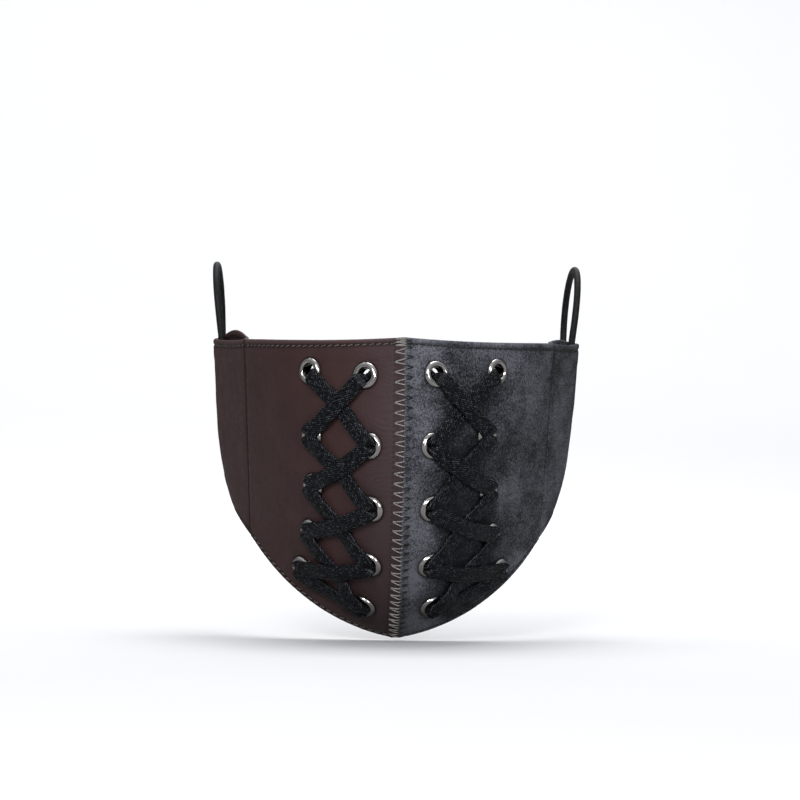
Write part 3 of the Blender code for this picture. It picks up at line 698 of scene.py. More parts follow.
def strap_track(a, b):
    """Surface points, normals and directions along a strap between two eyelets."""
    t = np.linspace(0, 1, TRACK_STEPS)
    u, v = mix(a[0], b[0], t), mix(a[1], b[1], t)
    points = cheek(u, v)
    return t, points, outward(u, v), unit(np.gradient(points, axis=0))


def curve(p0, p1, p2, p3, steps):
    """Points along a cubic Bezier curve."""
    return bezier(p0, p1, p2, p3, np.linspace(0, 1, steps)[:, None])


def stations(points, wide, width, thickness, arch):
    """Lace stations as rows of centre, wide axis, width, thickness and crown vector."""
    columns = [np.broadcast_to(np.asarray(values, float), (len(points), size))
               for values, size in ((wide, 3), (width, 1), (thickness, 1), (arch, 3))]
    return np.concatenate([points, *columns], 1)


def strap_stations(a, b, shift_a, shift_b, index):
    """Lace lying over the leather from eyelet a to eyelet b."""
    t, points, normals, directions = strap_track(a, b)
    distance = travelled(points)
    share, level = strap_levels(index)
    height = np.interp(t, share, level)
    shift = mix(shift_a, shift_b, t[:, None])
    wide = unit(np.cross(directions, normals))
    centres = points + normals * height[:, None] + shift
    keep = (distance > BEND_START) & (distance < distance[-1] - BEND_START)
    return stations(centres, wide, LACE_WIDTH, LACE_THICKNESS, normals * STRAP_ARCH)[keep]


def dive_stations(strap_end, direction, place, shift, past):
    """Lace rolling over an eyelet, some way past its middle, and down its bore, gathering as it goes."""
    axis = outward(*place)
    mouth = cheek(*place) + shift
    start, deep = strap_end[:3], mouth - axis * DIVE_DEPTH
    lead = direction * (DIVE_LEAD + past) + axis * DIVE_RISE
    over = curve(start, start + lead, deep + axis * DIVE_HANDLE + direction * past, deep, DIVE_STEPS)
    bore = mouth - axis * np.linspace(1.5, BARREL_DEPTH + 0.4, 5)[:, None]
    path = np.concatenate([over[1:], bore])
    wide = bore_axis(place, shift)
    wide = wide * np.sign(wide @ strap_end[3:6])
    step = np.arange(len(path), dtype=float)
    turn, gather = ease(2, 15, step)[:, None], ease(7, 16, step)[:, None]
    return stations(path, unit(mix(strap_end[3:6], wide, turn)), mix(LACE_WIDTH, STRAND_WIDTH, gather),
                    mix(LACE_THICKNESS, STRAND_THICKNESS, gather), (1 - gather) * strap_end[8:11])


def bore_axis(place, shift):
    """Wide axis of the strand inside a bore, square to its shift."""
    axis = outward(*place)
    if np.linalg.norm(shift) < 1e-6:
        return unit(np.cross(axis, np.array([0, 0, 1.0])))
    return unit(np.cross(axis, shift))


def bight_stations(place, shift, wide):
    """U-turn of the lace behind an eyelet."""
    axis = outward(*place)
    base = cheek(*place) - axis * (BARREL_DEPTH + BIGHT_DEPTH)
    angle = np.linspace(0.15, pi - 0.15, 9)[:, None]
    path = base + unit(shift) * BIGHT_WIDTH * np.cos(angle) - axis * BIGHT_SAG * np.sin(angle)
    return stations(path, wide, STRAND_WIDTH, STRAND_THICKNESS, [0, 0, 0])


def knot_stations(place, wide):
    """Stopper knot that fills the inner end of the last eyelet, and its loose tail."""
    axis = outward(*place)
    sideways = unit(np.cross(axis, wide))
    base = cheek(*place) - axis * (BARREL_DEPTH + KNOT_DEPTH)
    angle = np.linspace(0, 2 * pi * KNOT_TURNS, 48)[:, None]
    arms = wide * np.cos(angle) + sideways * np.sin(angle)
    coil = base + KNOT_RADIUS * ease(-0.6, 1.2, angle) * arms - axis * KNOT_PITCH * angle
    hang = unit(wide * 0.5 - axis * 0.3 - np.array([0, 0, 0.8]))
    tail = coil[-1] + np.linspace(0.5, KNOT_TAIL, 10)[:, None] * hang
    return stations(np.concatenate([coil, tail]), sideways, *KNOT_SECTION, [0, 0, 0])


def lace_stations(colour):
    """One continuous lace through the ten eyelets."""
    path = lace_path(colour)
    straps = list(zip(path, path[1:]))
    directions = [strap_track(a, b)[3][[0, -1]] for a, b in straps]
    last = len(straps) - 1
    shifts = {k + 1: unit(-directions[k][1] - directions[k + 1][0]) * STRAND_OFFSET for k in range(last)}
    rows = []
    for k, (a, b) in enumerate(straps):
        shift_a = -shifts[k] if k in shifts else directions[k][0] * STRAND_OFFSET
        shift_b = shifts.get(k + 1, -directions[k][1] * STRAND_OFFSET)
        strap = strap_stations(a, b, shift_a, shift_b, k)
        ends = unit(strap[[1, -1], :3] - strap[[0, -2], :3])
        rise = dive_stations(strap[0], -ends[0], a, shift_a, END_OVERSHOOT if k == 0 else BORE_OVERSHOOT)
        dive = dive_stations(strap[-1], ends[1], b, shift_b, END_OVERSHOOT if k == last else BORE_OVERSHOOT)
        if k == 0:
            rows.append(knot_stations(a, rise[-1, 3:6])[::-1])
        rows += [rise[::-1], strap, dive]
        if k + 1 in shifts:
            rows.append(bight_stations(b, shift_b, dive[-1, 3:6]))
        else:
            rows.append(knot_stations(b, dive[-1, 3:6]))
    return aligned(np.concatenate(rows))


def aligned(rows):
    """Stations whose wide axis never flips from one to the next."""
    for k in range(1, len(rows)):
        if rows[k, 3:6] @ rows[k - 1, 3:6] < 0:
            rows[k, 3:6] = -rows[k, 3:6]
    return rows


def lace_outline():
    """Section with round edges: rows of (share of width, share of thickness, normal), and shares round it."""
    flat, edge = LACE_WIDTH - LACE_THICKNESS, LACE_THICKNESS / 2
    perimeter = 2 * flat + 2 * pi * edge
    outline = []
    for s in (np.arange(LACE_SIDES) + 0.5) / LACE_SIDES * perimeter:
        half = s % (perimeter / 2)
        sign = 1 if s < perimeter / 2 else -1
        if half < flat:
            outline.append((sign * (half - flat / 2), sign * edge, 0.0, sign))
        else:
            angle = (half - flat) / edge
            outline.append((sign * (flat / 2 + edge * sin(angle)), sign * edge * cos(angle),
                            sign * sin(angle), sign * cos(angle)))
    around = np.arange(LACE_SIDES) / LACE_SIDES
    return np.array(outline) / np.array([LACE_WIDTH, LACE_THICKNESS, 1, 1]), around


def add_lace(colour, side, finish):
    """Flat waxed braid with its plaited yarns as real relief."""
    rows = lace_stations(colour)
    distance = travelled(rows[:, :3])
    stops = np.arange(0, distance[-1], LACE_STEP)
    rows = softened(looked_up(stops, distance, rows), 2.2)
    centres, wide, size, crown = rows[:, :3], rows[:, 3:6], rows[:, 6:8], rows[:, 8:11]
    direction = unit(np.gradient(centres, axis=0))
    wide = unit(wide - (wide * direction).sum(1, keepdims=True) * direction)
    thick = np.cross(direction, wide)
    outline, around = lace_outline()
    crowns, weft = plaited(stops[:, None] / LACE_YARN_LENGTH, around[None, :], LACE_YARNS)
    height = YARN_RELIEF * crowns - YARN_SINK
    x = outline[:, 0] * size[:, :1] + outline[:, 2] * height
    y = outline[:, 1] * size[:, 1:] + outline[:, 3] * height
    sag = 1 - (2 * outline[:, 0]) ** 2 * 1.6
    rings = (centres[:, None] + x[..., None] * wide[:, None] + y[..., None] * thick[:, None]
             + sag[None, :, None] * crown[:, None])
    points, faces = tube(world(rings, side))
    weft = np.concatenate([weft, np.zeros((len(points) - len(weft), 3))])
    thing = piece(f"{colour}_braided_lace", points, faces, finish, {"weft": weft})
    settle(thing, "mask_body", "lace_cotton", f"{colour}_lace")


# ---- side casings

def casing_runs():
    """Layer numbers across the strip: 0-1 front, 1-2 round fold, 2-3 back, 3-4 neck at the seam."""
    later = [number + np.linspace(0, 1, count)[1:] for number, count in ((1, 15), (2, 50), (3, 18))]
    return np.concatenate([close_at_start(60), *later])


def casing_section(wide, run):
    """Across and depth of the strip's middle line for its width and layer numbers."""
    middle = CASING_WALL / 2
    bend_start = wide - CASING_BEND - middle
    angle = np.clip(run - 1, 0, 1) * pi
    across = mix(CASING_GAP, bend_start, np.clip(run, 0, 1)) + CASING_BEND * np.sin(angle)
    across = across - (bend_start - NECK_WIDTH) * np.clip(run - 2, 0, 1)
    across = across - (NECK_WIDTH - NECK_END) * np.clip(run - 3, 0, 1)
    depth = middle + CASING_BEND * (1 - np.cos(angle))
    depth = depth - (depth - NECK_DEPTH) * ease(0, 0.72, run - 3)
    depth = depth + CASING_BACK_BULGE * np.sin(pi * np.clip(run - 2, 0, 1))
    return across, depth - CASING_BULGE * np.sin(pi * np.clip(run, 0, 1))


def close_at_start(count):
    """Shares from 0 to 1, close together at the start."""
    even = np.linspace(0, 1, count)
    return mix(even**2, even, np.clip(even * 2.0, 0, 1))


def casing_grid(colour):
    """Layer numbers and shares of the strip's columns, and along and model points of its grid."""
    run = casing_runs()
    share = casing_section(CASING_WIDTH, run)[0] / CASING_WIDTH
    full = mix(SIDE_SEAM_LENGTH, CASING_HEM, share)
    rows = grid_lines(SIDE_SEAM_LENGTH)[:, None] / SIDE_SEAM_LENGTH
    along = rows * mix(full, BACK_LAYER_END, ease(1.0, 2.4, run))
    across, depth = casing_section(CASING_WIDTH - CASING_NARROWING * (along / full) ** 4, run)
    arc = np.sin(pi * np.clip((share - 0.2) / 0.8, 0, 1) ** 1.3)
    lift = MOUTH_RISE[colour] * arc * ease(1.2, 1.9, run) - MOUTH_DIP * np.sin(pi * share) * (run < 1)
    along = along - lift * (1 - rows) ** 3
    return run, along, casing_point(along, across, depth)


def add_casing(colour, side, finish):
    """Leather strip folded into a flat tube with a stitched mouth; its back layer ends higher up."""
    run, along, points = casing_grid(colour)
    normals = unit(np.cross(np.gradient(points, axis=1), np.gradient(points, axis=0)))
    normals = normals * np.sign((normals[:, 10] @ -CASING_INWARD).mean())
    top, low, seam, back_seam, sideways, downward = edge_distances(points)
    hem = np.minimum(top, low)
    relief = hem_relief(top, sideways + STITCH / 2) * (run < 1.6)
    relief += puckers(downward, seam, 0.10, 2.4, 0.6) + 0.13 * bump(seam, 2.8, 1.8)
    relief += 0.22 * cloud(sideways / 15, downward / 19, 41 + side)
    relief += 0.07 * cloud(sideways / 5, downward / 6, 43)
    relief *= ease(0, 1.2, np.minimum(hem, back_seam)) * ease(0.2, 1.5, seam)
    edge = np.maximum.reduce([roll(hem, 0.5), 0.5 * roll(back_seam, 0.5), roll(seam, 0.45)])
    outer = points + normals * (CASING_WALL / 2 - edge + relief)[..., None]
    inner = points - normals * (CASING_WALL / 2 - edge - relief * 0.4)[..., None]
    reach = (top, low, seam + 40, seam, sideways + ROW_SPEED, downward)
    fields = leather_fields(1.02 + sideways / 200, along / SIDE_SEAM_LENGTH, reach)
    thing = slab(f"{colour}_casing_leather", outer, inner, side, finish, fields)
    return settle(thing, f"{colour}_casing", f"{colour}_leather", f"{colour}_side_casing")


def add_seam_tape(colour, side, finish):
    """Binding tape behind the side seam, bent where the mask meets the casing."""
    down = grid_lines(SIDE_SEAM_LENGTH - 2 * TAPE_INSET) + TAPE_INSET
    spread = np.array(TAPE_COLUMNS)
    along, across = np.meshgrid(down, spread, indexing="ij")
    beyond = np.maximum(across, 0)
    v = along / SIDE_SEAM_LENGTH * mix(1, CASING_HEM / SIDE_SEAM_LENGTH, beyond / CASING_WIDTH)
    u = 1 + np.minimum(across, 0) / ROW_SPEED
    normals = outward(u, v)
    points = cheek(u, v) + beyond[..., None] * ACROSS
    rim = np.minimum(np.minimum(along - down[0], down[-1] - along),
                     np.minimum(across - spread[0], spread[-1] - across))
    weave = WEAVE_RELIEF * np.sin(2 * pi * across / WEAVE_PITCH) * np.sin(2 * pi * along / WEAVE_PITCH)
    depth = 1.38 + 1.37 * ease(0.3, 2.0, -across) + 1.2 * ease(0.2, 1.7, across)
    edge = roll(rim, 0.25)
    outer = points - normals * (depth + edge)[..., None]
    inner = points - normals * (depth + TAPE_THICKNESS - edge + weave)[..., None]
    weft = np.stack([across, along, 0 * along], -1)
    thing = slab(f"{colour}_seam_tape", outer, inner, side, finish, {"weft": weft})
    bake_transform(thing)
    return thing


# ---- ear loops

def loop_line():
    """Closed centre line: up through the casing, over the ear, down behind it and back."""
    top = casing_point(*TUNNEL_TOP, CORD_DEPTH)
    low = casing_point(*TUNNEL_LOW, CORD_DEPTH)
    up, down = unit(top - low), np.array([0, 0, -1.0])
    entry, rise = low - up * 2.0, top + up * 5.0
    rear_top, rear_low = LOOP_REAR_TOP, LOOP_REAR_LOW
    turn, forward = entry + LOOP_TURN, unit(LOOP_FORWARD)
    arch = curve(rise, rise + LOOP_FRONT_HANDLE, rear_top + LOOP_REAR_HANDLE, rear_top, 60)
    under = curve(rear_low, rear_low + LOOP_UNDER * down, turn - 20.0 * forward, turn, 50)
    bend = curve(turn, turn + 5.0 * forward, entry - 4.0 * up, entry, 16)
    straight = mix(entry, rise, np.linspace(0, 1, 30)[:, None])
    rear = mix(rear_top, rear_low, np.linspace(0, 1, 12)[:, None])
    return np.concatenate([straight[:-1], arch[:-1], rear[:-1], under[:-1], bend[:-1]])


def add_ear_loop(colour, side, finish):
    """Round elastic cord with a plaited cover."""
    centres = softened(resampled(loop_line(), CORD_STEP, closed=True), 2.0, closed=True)
    direction = unit(np.roll(centres, -1, axis=0) - np.roll(centres, 1, axis=0))
    around = np.arange(CORD_SIDES) / CORD_SIDES
    length = travelled(centres)[:, None]
    turns = round(float(length[-1, 0]) / CORD_YARN_LENGTH / 2) * 2
    along = length / length[-1] * turns * (len(centres) - 1) / len(centres)
    crowns, weft = plaited(along, around[None, :], CORD_YARNS)
    radius = CORD_RADIUS - CORD_SINK + CORD_RELIEF * crowns
    rings = round_rings(centres, direction, np.array([1.0, 0, 0]), 2 * pi * around, radius)
    points, faces = tube(world(rings, side), closed=True)
    thing = piece(f"{colour}_elastic_cord", points, faces, finish, {"weft": weft})
    return settle(thing, f"{colour}_loop", "elastic_cord", f"{colour}_ear_loop")


# ---- sewing threads

def strand(path, radius):
    """Two-ply thread along a path of points."""
    centres = resampled(path, THREAD_STEP)
    direction = unit(np.gradient(centres, axis=0))
    angle = 2 * pi * np.arange(THREAD_SIDES) / THREAD_SIDES
    twist = 2 * pi * travelled(centres)[:, None] / PLY_LENGTH
    ply = radius * (1 + PLY_RELIEF * np.cos(2 * angle[None, :] - twist))
    return tube(round_rings(centres, direction, THREAD_HELPER, angle, ply))


def stitch(ends, normals, radius, rise):
    """One stitch: out of a needle hole, over the leather, and into the next hole."""
    share = np.array([0, 0.05, 0.13, 0.3, 0.5, 0.7, 0.87, 0.95, 1])[:, None]
    climb = np.array([0.75, 1, 1.05, 1, 0.75]) * rise
    height = np.array([-STITCH_SINK, -0.2, *climb, -0.2, -STITCH_SINK])[:, None]
    return strand(mix(ends[0], ends[1], share) + mix(normals[0], normals[1], share) * height, radius)


def stitch_row(points, normals, aside, radius, slant, rise, phase=0.0, fill=0.66):
    """Running stitches along a line of points, each leaning by the slant."""
    distance = travelled(points)
    lean = np.array([[-slant], [slant]])
    solids = []
    for k in range(int((distance[-1] - phase) / STITCH)):
        stops = phase + STITCH * (k + np.array([0.5 - fill / 2, 0.5 + fill / 2]))
        ends, outs, sides = [looked_up(stops, distance, rows) for rows in (points, normals, aside)]
        solids.append(stitch(ends + lean * sides, outs, radius, rise))
    return solids


def cheek_line(u, v, depth=0.0):
    """Points, normals and sideways directions of a line on the cheek surface."""
    points, normals = cheek(u, v), outward(u, v)
    aside = unit(np.cross(unit(np.gradient(points, axis=0)), normals))
    return points - normals * depth, normals, aside


def edge_speed(u, v):
    """Millimetres per unit of v at a place."""
    return np.linalg.norm(cheek(u, v + 1e-3) - cheek(u, v - 1e-3), axis=-1) / 2e-3


def hem_line(edge, start, end):
    """Surface coordinates of the hem stitching next to the top (0) or chin (1) edge."""
    u = np.linspace(start, end, 200)
    inset = HEM_STITCH / edge_speed(u, np.full_like(u, edge))
    return u, inset if edge == 0 else 1 - inset


def add_threads(name, solids, side, finish, body, *nodes):
    """Stitches joined into one piece."""
    points, faces = joined(solids)
    thing = piece(name, world(points, side), faces, finish)
    return settle(thing, body, "thread", *nodes)


def add_stitching(colour, side, finish, body_finish):
    """Hem rows, the sewing line of the casing and the stitched casing mouth."""
    slant, thread = (0.26, THREAD) if colour == "brown" else (0.08, GREY_THREAD)
    for name, edge, end in (("top", 0, 0.995), ("bottom", 1, 0.985)):
        line = cheek_line(*hem_line(edge, 0.0, end))
        solids = stitch_row(*line, thread, slant, 0.14, phase=STITCH)
        add_threads(f"{colour}_{name}_hem_threads", solids, side, finish, "mask_body",
                    f"{colour}_{name}_hem_stitch")
    v = np.linspace(0.03, 0.985, 160)
    ditch = cheek_line(np.full_like(v, 1 - 0.75 / ROW_SPEED), v, depth=0.55)
    solids = stitch_row(*ditch, DITCH_THREAD, 0.0, 0.1, fill=0.6)
    add_threads(f"{colour}_casing_seam_threads", solids, side, body_finish, "mask_body",
                f"{colour}_casing_seam_stitch")
    add_mouth_threads(colour, side, finish, slant)
    add_lining_threads(colour, side, body_finish)


def add_mouth_threads(colour, side, finish, slant):
    """Stitches of the top hem where it runs on over the front of the casing."""
    across = np.linspace(0.4, CASING_WIDTH - 1.2, 120)
    bulge = CASING_BULGE * np.sin(pi * np.clip(across / (CASING_WIDTH - CASING_BEND), 0, 1))
    dip = MOUTH_DIP * np.sin(pi * across / CASING_WIDTH)
    points = casing_point(HEM_STITCH + dip, across, -bulge)
    normals = np.broadcast_to(-CASING_INWARD, points.shape)
    aside = np.broadcast_to(ALONG, points.shape)
    solids = stitch_row(points, normals, aside, THREAD, slant, 0.12)
    add_threads(f"{colour}_casing_mouth_threads", solids, side, finish, f"{colour}_casing")


def add_lining_threads(colour, side, finish):
    """The same hem rows seen on the lining."""
    solids = []
    for edge, end in ((0, 0.975), (1, 0.965)):
        points, normals, aside = cheek_line(*hem_line(edge, 0.02, end))
        back = points - normals * (HEM_THICKNESS + LINING_GAP + LINING)
        solids += stitch_row(back, -normals, aside, THREAD, 0.05, 0.22)
    add_threads(f"{colour}_lining_hem_threads", solids, side, finish, "mask_body")


def add_zigzag(finish):
    """Wide zigzag thread that joins the two halves over the centre seam, with a tack at the top."""
    half = ZIGZAG_PITCH / 2
    stops = list(0.7 + TACK_PITCH * np.arange(6))
    while stops[-1] + half < SEAM_LENGTH - 0.8:
        stops.append(stops[-1] + half)
    share = np.linspace(0, 1, 15)
    lift = 0.30 - 1.1 * (1 - np.sin(pi * share) ** 0.35)
    solids = []
    for k, (above, below) in enumerate(zip(stops, stops[1:])):
        hand = 1 if k % 2 else -1
        x = hand * ZIGZAG_REACH * (1 - 2 * share)
        v = mix(above, below, share) / SEAM_LENGTH
        flip = np.stack([np.where(x < 0, -1, 1), np.ones_like(x), np.ones_like(x)], -1)
        reach = np.maximum(np.abs(x), 0.01) / ROW_SPEED
        normals = outward(reach, v) * flip
        normals[:, 0] *= 1 - bump(x, 0, 0.8)
        solids.append(strand(cheek(reach, v) * flip + unit(normals) * lift[:, None], ZIGZAG_THREAD))
    add_threads("centre_zigzag_threads", solids, 1, finish, "mask_body", "centre_zigzag_stitch")


# ---- finishes

# Linear colours.
BROWN_DARK, BROWN_LIGHT = (0.053, 0.0272, 0.0272), (0.065, 0.0340, 0.0335)
# Brown tints below: painted highlight along the centre seam, painted highlight on the turned hem edge, and
# painted shade in grooves and round the eyelets.
BROWN_SEAM_HIGHLIGHT, BROWN_HEM_HIGHLIGHT, BROWN_GROOVE_SHADE = (0.066, 0.047, 0.052), (0.085, 0.055, 0.053), (0.008, 0.005, 0.005)
GREY_TONES = ((0.0, (0.006, 0.0063, 0.008)), (0.30, (0.025, 0.0258, 0.031)),
              (0.62, (0.084, 0.086, 0.103)), (1.0, (0.170, 0.175, 0.203)))
# Painted shade in grooves, needle holes and round the eyelets of the grey half.
GREY_GROOVE_SHADE = (0.008, 0.008, 0.010)
# Lace and cord: dark and light are shaded and lit copies of the black yarn, gleam is a painted glint.
LACE_DARK, LACE_LIT_CROWN, LACE_GLEAM = (0.001, 0.0011, 0.0014), (0.0105, 0.0115, 0.0142), (0.14, 0.15, 0.185)
CORD_DARK, CORD_LIT_CROWN, CORD_GLEAM = (0.005, 0.005, 0.0055), (0.024, 0.024, 0.026), (0.08, 0.08, 0.085)
COTTON_DARK, COTTON_LIGHT = (0.011, 0.011, 0.012), (0.036, 0.035, 0.037)
NICKEL_DARK, NICKEL_LIGHT = (0.52, 0.495, 0.48), (0.64, 0.61, 0.59)
# Painted dark reflection on metal sloping away from view, and painted shade inside the bore.
NICKEL_GRAZING_SHADE, NICKEL_BORE_SHADE = (0.012, 0.012, 0.014), (0.03, 0.03, 0.03)
PALE_THREAD = (0.030, 0.026, 0.024), (0.21, 0.18, 0.17)
ZIGZAG_TINTS = (0.14, 0.13, 0.125), (0.42, 0.39, 0.38), (0.010, 0.010, 0.012)
BLACK_THREAD = (0.006, 0.006, 0.007), (0.020, 0.020, 0.022)
PAPER_SEEN, PAPER_SHINING = ((0.86, 0.86, 0.87), (0.84, 0.84, 0.85)), (0.30, 0.30, 0.30)
SKY_LOW, SKY_HIGH = (0.07, 0.07, 0.075), (0.50, 0.52, 0.54)


def node(tree, kind, inputs=None, **settings):
    """Shader node with its settings and inputs, each a value or another node's output."""
    made = tree.nodes.new("ShaderNode" + kind)
    for name, value in settings.items():
        setattr(made, name, value)
    for name, value in (inputs or {}).items():
        if isinstance(value, bpy.types.NodeSocket):
            tree.links.new(value, made.inputs[name])
        else:
            made.inputs[name].default_value = value
    return made


def new_finish(name, roughness, specular=0.5, **values):
    """Material with a Principled BSDF, and its node tree."""
    made = bpy.data.materials.new(name)
    made.use_nodes = True
    shader = made.node_tree.nodes["Principled BSDF"]
    shader.inputs["Roughness"].default_value = roughness
    shader.inputs["Specular IOR Level"].default_value = specular
    for key, value in values.items():
        shader.inputs[key.replace("_", " ")].default_value = value
    return made, made.node_tree


def finished(made, colour, roughness=None, normal=None):
    """The material with its colour, and with a roughness and a normal where they vary."""
    shader = made.node_tree.nodes["Principled BSDF"]
    for name, socket in (("Base Color", colour), ("Roughness", roughness), ("Normal", normal)):
        if socket is not None:
            made.node_tree.links.new(socket, shader.inputs[name])
    return made


def field(tree, name, output="Fac"):
    """Value of one of the mesh's point fields."""
    return node(tree, "Attribute", attribute_name=name).outputs[output]


def product(tree, first, second):
    """Product of two values."""
    return node(tree, "Math", {0: first, 1: second}, operation="MULTIPLY").outputs[0]


def place(tree):
    """The object's own metres."""
    return node(tree, "TexCoord").outputs["Object"]


def stretched(tree, vector, scale):
    """Vector stretched along its axes."""
    return node(tree, "Mapping", {"Vector": vector, "Scale": scale}).outputs["Vector"]


def blended(tree, share, first, second):
    """Colour between two colours."""
    mixed = node(tree, "Mix", data_type="RGBA")
    tree.links.new(share, mixed.inputs["Factor"])
    for slot_index, value in ((6, first), (7, second)):
        if isinstance(value, bpy.types.NodeSocket):
            tree.links.new(value, mixed.inputs[slot_index])
        else:
            mixed.inputs[slot_index].default_value = (*value, 1)
    return mixed.outputs[2]


def noise(tree, scale, detail=4.0, roughness=0.55, stretch=(1, 1, 1)):
    """Fractal noise over the object's own metres."""
    made = node(tree, "TexNoise", {"Vector": stretched(tree, place(tree), stretch), "Scale": scale,
                                   "Detail": detail, "Roughness": roughness})
    return made.outputs[0]


def ramp(tree, value, low, high, out_low=0.0, out_high=1.0):
    """Value remapped from one range to another."""
    made = node(tree, "MapRange", {"Value": value, "From Min": low, "From Max": high,
                                   "To Min": out_low, "To Max": out_high})
    return made.outputs[0]


def bumped(tree, height, strength, distance, before=None):
    """Bump normal from a height in millimetres."""
    inputs = {"Height": height, "Strength": strength, "Distance": distance * MM}
    if before is not None:
        inputs["Normal"] = before
    return node(tree, "Bump", inputs).outputs["Normal"]


def pebbles(tree, scale):
    """Fine leather grain: round cells with creases between them."""
    cells = node(tree, "TexVoronoi", {"Vector": place(tree), "Scale": scale, "Randomness": 0.9},
                 feature="SMOOTH_F1")
    return cells.outputs["Distance"]


def tinted(tree, colour, name, most, tint):
    """Colour turned towards a tint by a point field, at most by the given share."""
    return blended(tree, ramp(tree, field(tree, name), 0, 1, 0, most), colour, tint)


def brown_finish():
    """Smooth dark brown imitation leather with a fine grain."""
    made, tree = new_finish("brown_leather_grain", 0.5, 0.16)
    colour = blended(tree, ramp(tree, noise(tree, 55), 0.35, 0.65), BROWN_DARK, BROWN_LIGHT)
    # painted highlight along the centre seam and on the crease crests
    colour = tinted(tree, colour, "seam", 0.75, BROWN_SEAM_HIGHLIGHT)
    # painted highlight on the rolled hem edge
    colour = tinted(tree, colour, "edge", 0.5, BROWN_HEM_HIGHLIGHT)
    # painted shade in grooves, needle holes and round the eyelets
    colour = tinted(tree, colour, "groove", 0.75, BROWN_GROOVE_SHADE)
    grain = bumped(tree, pebbles(tree, 1500), 0.6, 0.12)
    wrinkles = bumped(tree, noise(tree, 260, 5), 0.55, 0.35, grain)
    return finished(made, colour, ramp(tree, noise(tree, 420), 0.3, 0.7, 0.42, 0.56), wrinkles)


def grey_finish():
    """Mottled charcoal and blue-grey leather with a suede-like nap; its tone holds painted shadow under the
    lace and painted highlight along the centre seam.
    """
    made, tree = new_finish("grey_leather_nap", 0.68, 0.18)
    total = field(tree, "tone")
    for texture, swing in ((noise(tree, 60, 6, 0.65), 0.13), (noise(tree, 1500, 3, 0.75), 0.33),
                           (noise(tree, 150, 5, 0.7, (1, 1, 3.2)), 0.10)):
        part = ramp(tree, texture, 0.38, 0.62, -swing, swing)
        total = node(tree, "Math", {0: total, 1: part}, operation="ADD").outputs[0]
    stops = node(tree, "ValToRGB", {"Fac": total})
    elements = stops.color_ramp.elements
    while len(elements) < len(GREY_TONES):
        elements.new(0.5)
    for element, (position, colour) in zip(elements, GREY_TONES):
        element.position = position
        element.color = (*colour, 1)
    # painted shade in grooves, needle holes and round the eyelets
    colour = tinted(tree, stops.outputs["Color"], "groove", 0.42, GREY_GROOVE_SHADE)
    nap = bumped(tree, noise(tree, 1500, 3, 0.7), 0.45, 0.10)
    return finished(made, colour, normal=bumped(tree, noise(tree, 240, 5), 0.35, 0.35, nap))


def yarn_finish(name, dark, light, gleam, roughness):
    """Plaited yarns: painted shade between them, painted highlight on their crowns, and a painted glint on
    some of them.
    """
    made, tree = new_finish(name, roughness, 0.15)
    weft = field(tree, "weft", "Vector")
    crown = node(tree, "SeparateXYZ", {0: weft}).outputs["Z"]
    fibre = node(tree, "TexNoise", {"Vector": stretched(tree, weft, (1.5, 2.0, 1)),
                                    "Scale": 3.0, "Detail": 3.0}).outputs[0]
    glint = node(tree, "TexNoise", {"Vector": stretched(tree, weft, (0.6, 1.2, 1)),
                                    "Scale": 1.7, "Detail": 1.0}).outputs[0]
    # painted shade between the yarns and painted highlight on their crowns
    tint = blended(tree, ramp(tree, crown, 0.45, 0.95), dark, light)
    # painted glint on some yarn crowns
    painted_glint = product(tree, ramp(tree, glint, 0.53, 0.63), ramp(tree, crown, 0.5, 0.9))
    tint = blended(tree, painted_glint, tint, gleam)
    tint = blended(tree, ramp(tree, fibre, 0.45, 0.66, 0, 0.6), tint, dark)
    sheen = ramp(tree, fibre, 0.3, 0.7, roughness + 0.08, roughness - 0.08)
    return finished(made, tint, sheen, bumped(tree, fibre, 0.6, 0.08))


def woven_finish():
    """Black plain-woven cotton."""
    made, tree = new_finish("lining_weave", 0.92, Sheen_Weight=0.2)
    waves = [node(tree, "TexWave", {"Vector": field(tree, "weft", "Vector"), "Scale": 0.42,
                                    "Distortion": 0.6, "Detail": 1.0},
                  bands_direction=direction, wave_profile="SIN").outputs["Fac"] for direction in "XY"]
    weave = product(tree, *waves)
    colour = blended(tree, weave, COTTON_DARK, COTTON_LIGHT)
    return finished(made, colour, normal=bumped(tree, weave, 0.7, 0.15))


def metal_finish():
    """Polished black nickel with faint swirl marks; painted dark reflection where it slopes away from view,
    and painted shade inside the bore.
    """
    made, tree = new_finish("black_nickel", 0.14, Metallic=1.0)
    plate = blended(tree, ramp(tree, noise(tree, 300), 0.35, 0.65), NICKEL_DARK, NICKEL_LIGHT)
    # painted dark reflection where the metal slopes away from view
    grazing_shade = node(tree, "LayerWeight", {"Blend": 0.5}).outputs["Facing"]
    plate = blended(tree, ramp(tree, grazing_shade, 0.28, 0.62, 0, 0.94), plate, NICKEL_GRAZING_SHADE)
    # painted shade inside the bore
    plate = blended(tree, field(tree, "bore"), plate, NICKEL_BORE_SHADE)
    swirls = bumped(tree, noise(tree, 500, 2), 0.12, 0.05)
    return finished(made, plate, ramp(tree, noise(tree, 900), 0.3, 0.7, 0.10, 0.22), swirls)


def thread_finish(name, dark, light, across=None):
    """Twisted polyester thread; across is its tint where it runs onto the grey half."""
    made, tree = new_finish(name, 0.5)
    plies = noise(tree, 2600, 2, 0.6)
    tint = blended(tree, ramp(tree, plies, 0.35, 0.65), dark, light)
    if across:
        x = node(tree, "SeparateXYZ", {0: place(tree)}).outputs["X"]
        tint = blended(tree, ramp(tree, x, -0.2 * MM, 1.2 * MM), tint, across)
    return finished(made, tint, normal=bumped(tree, plies, 0.4, 0.04))


# ---- stage, lights and camera

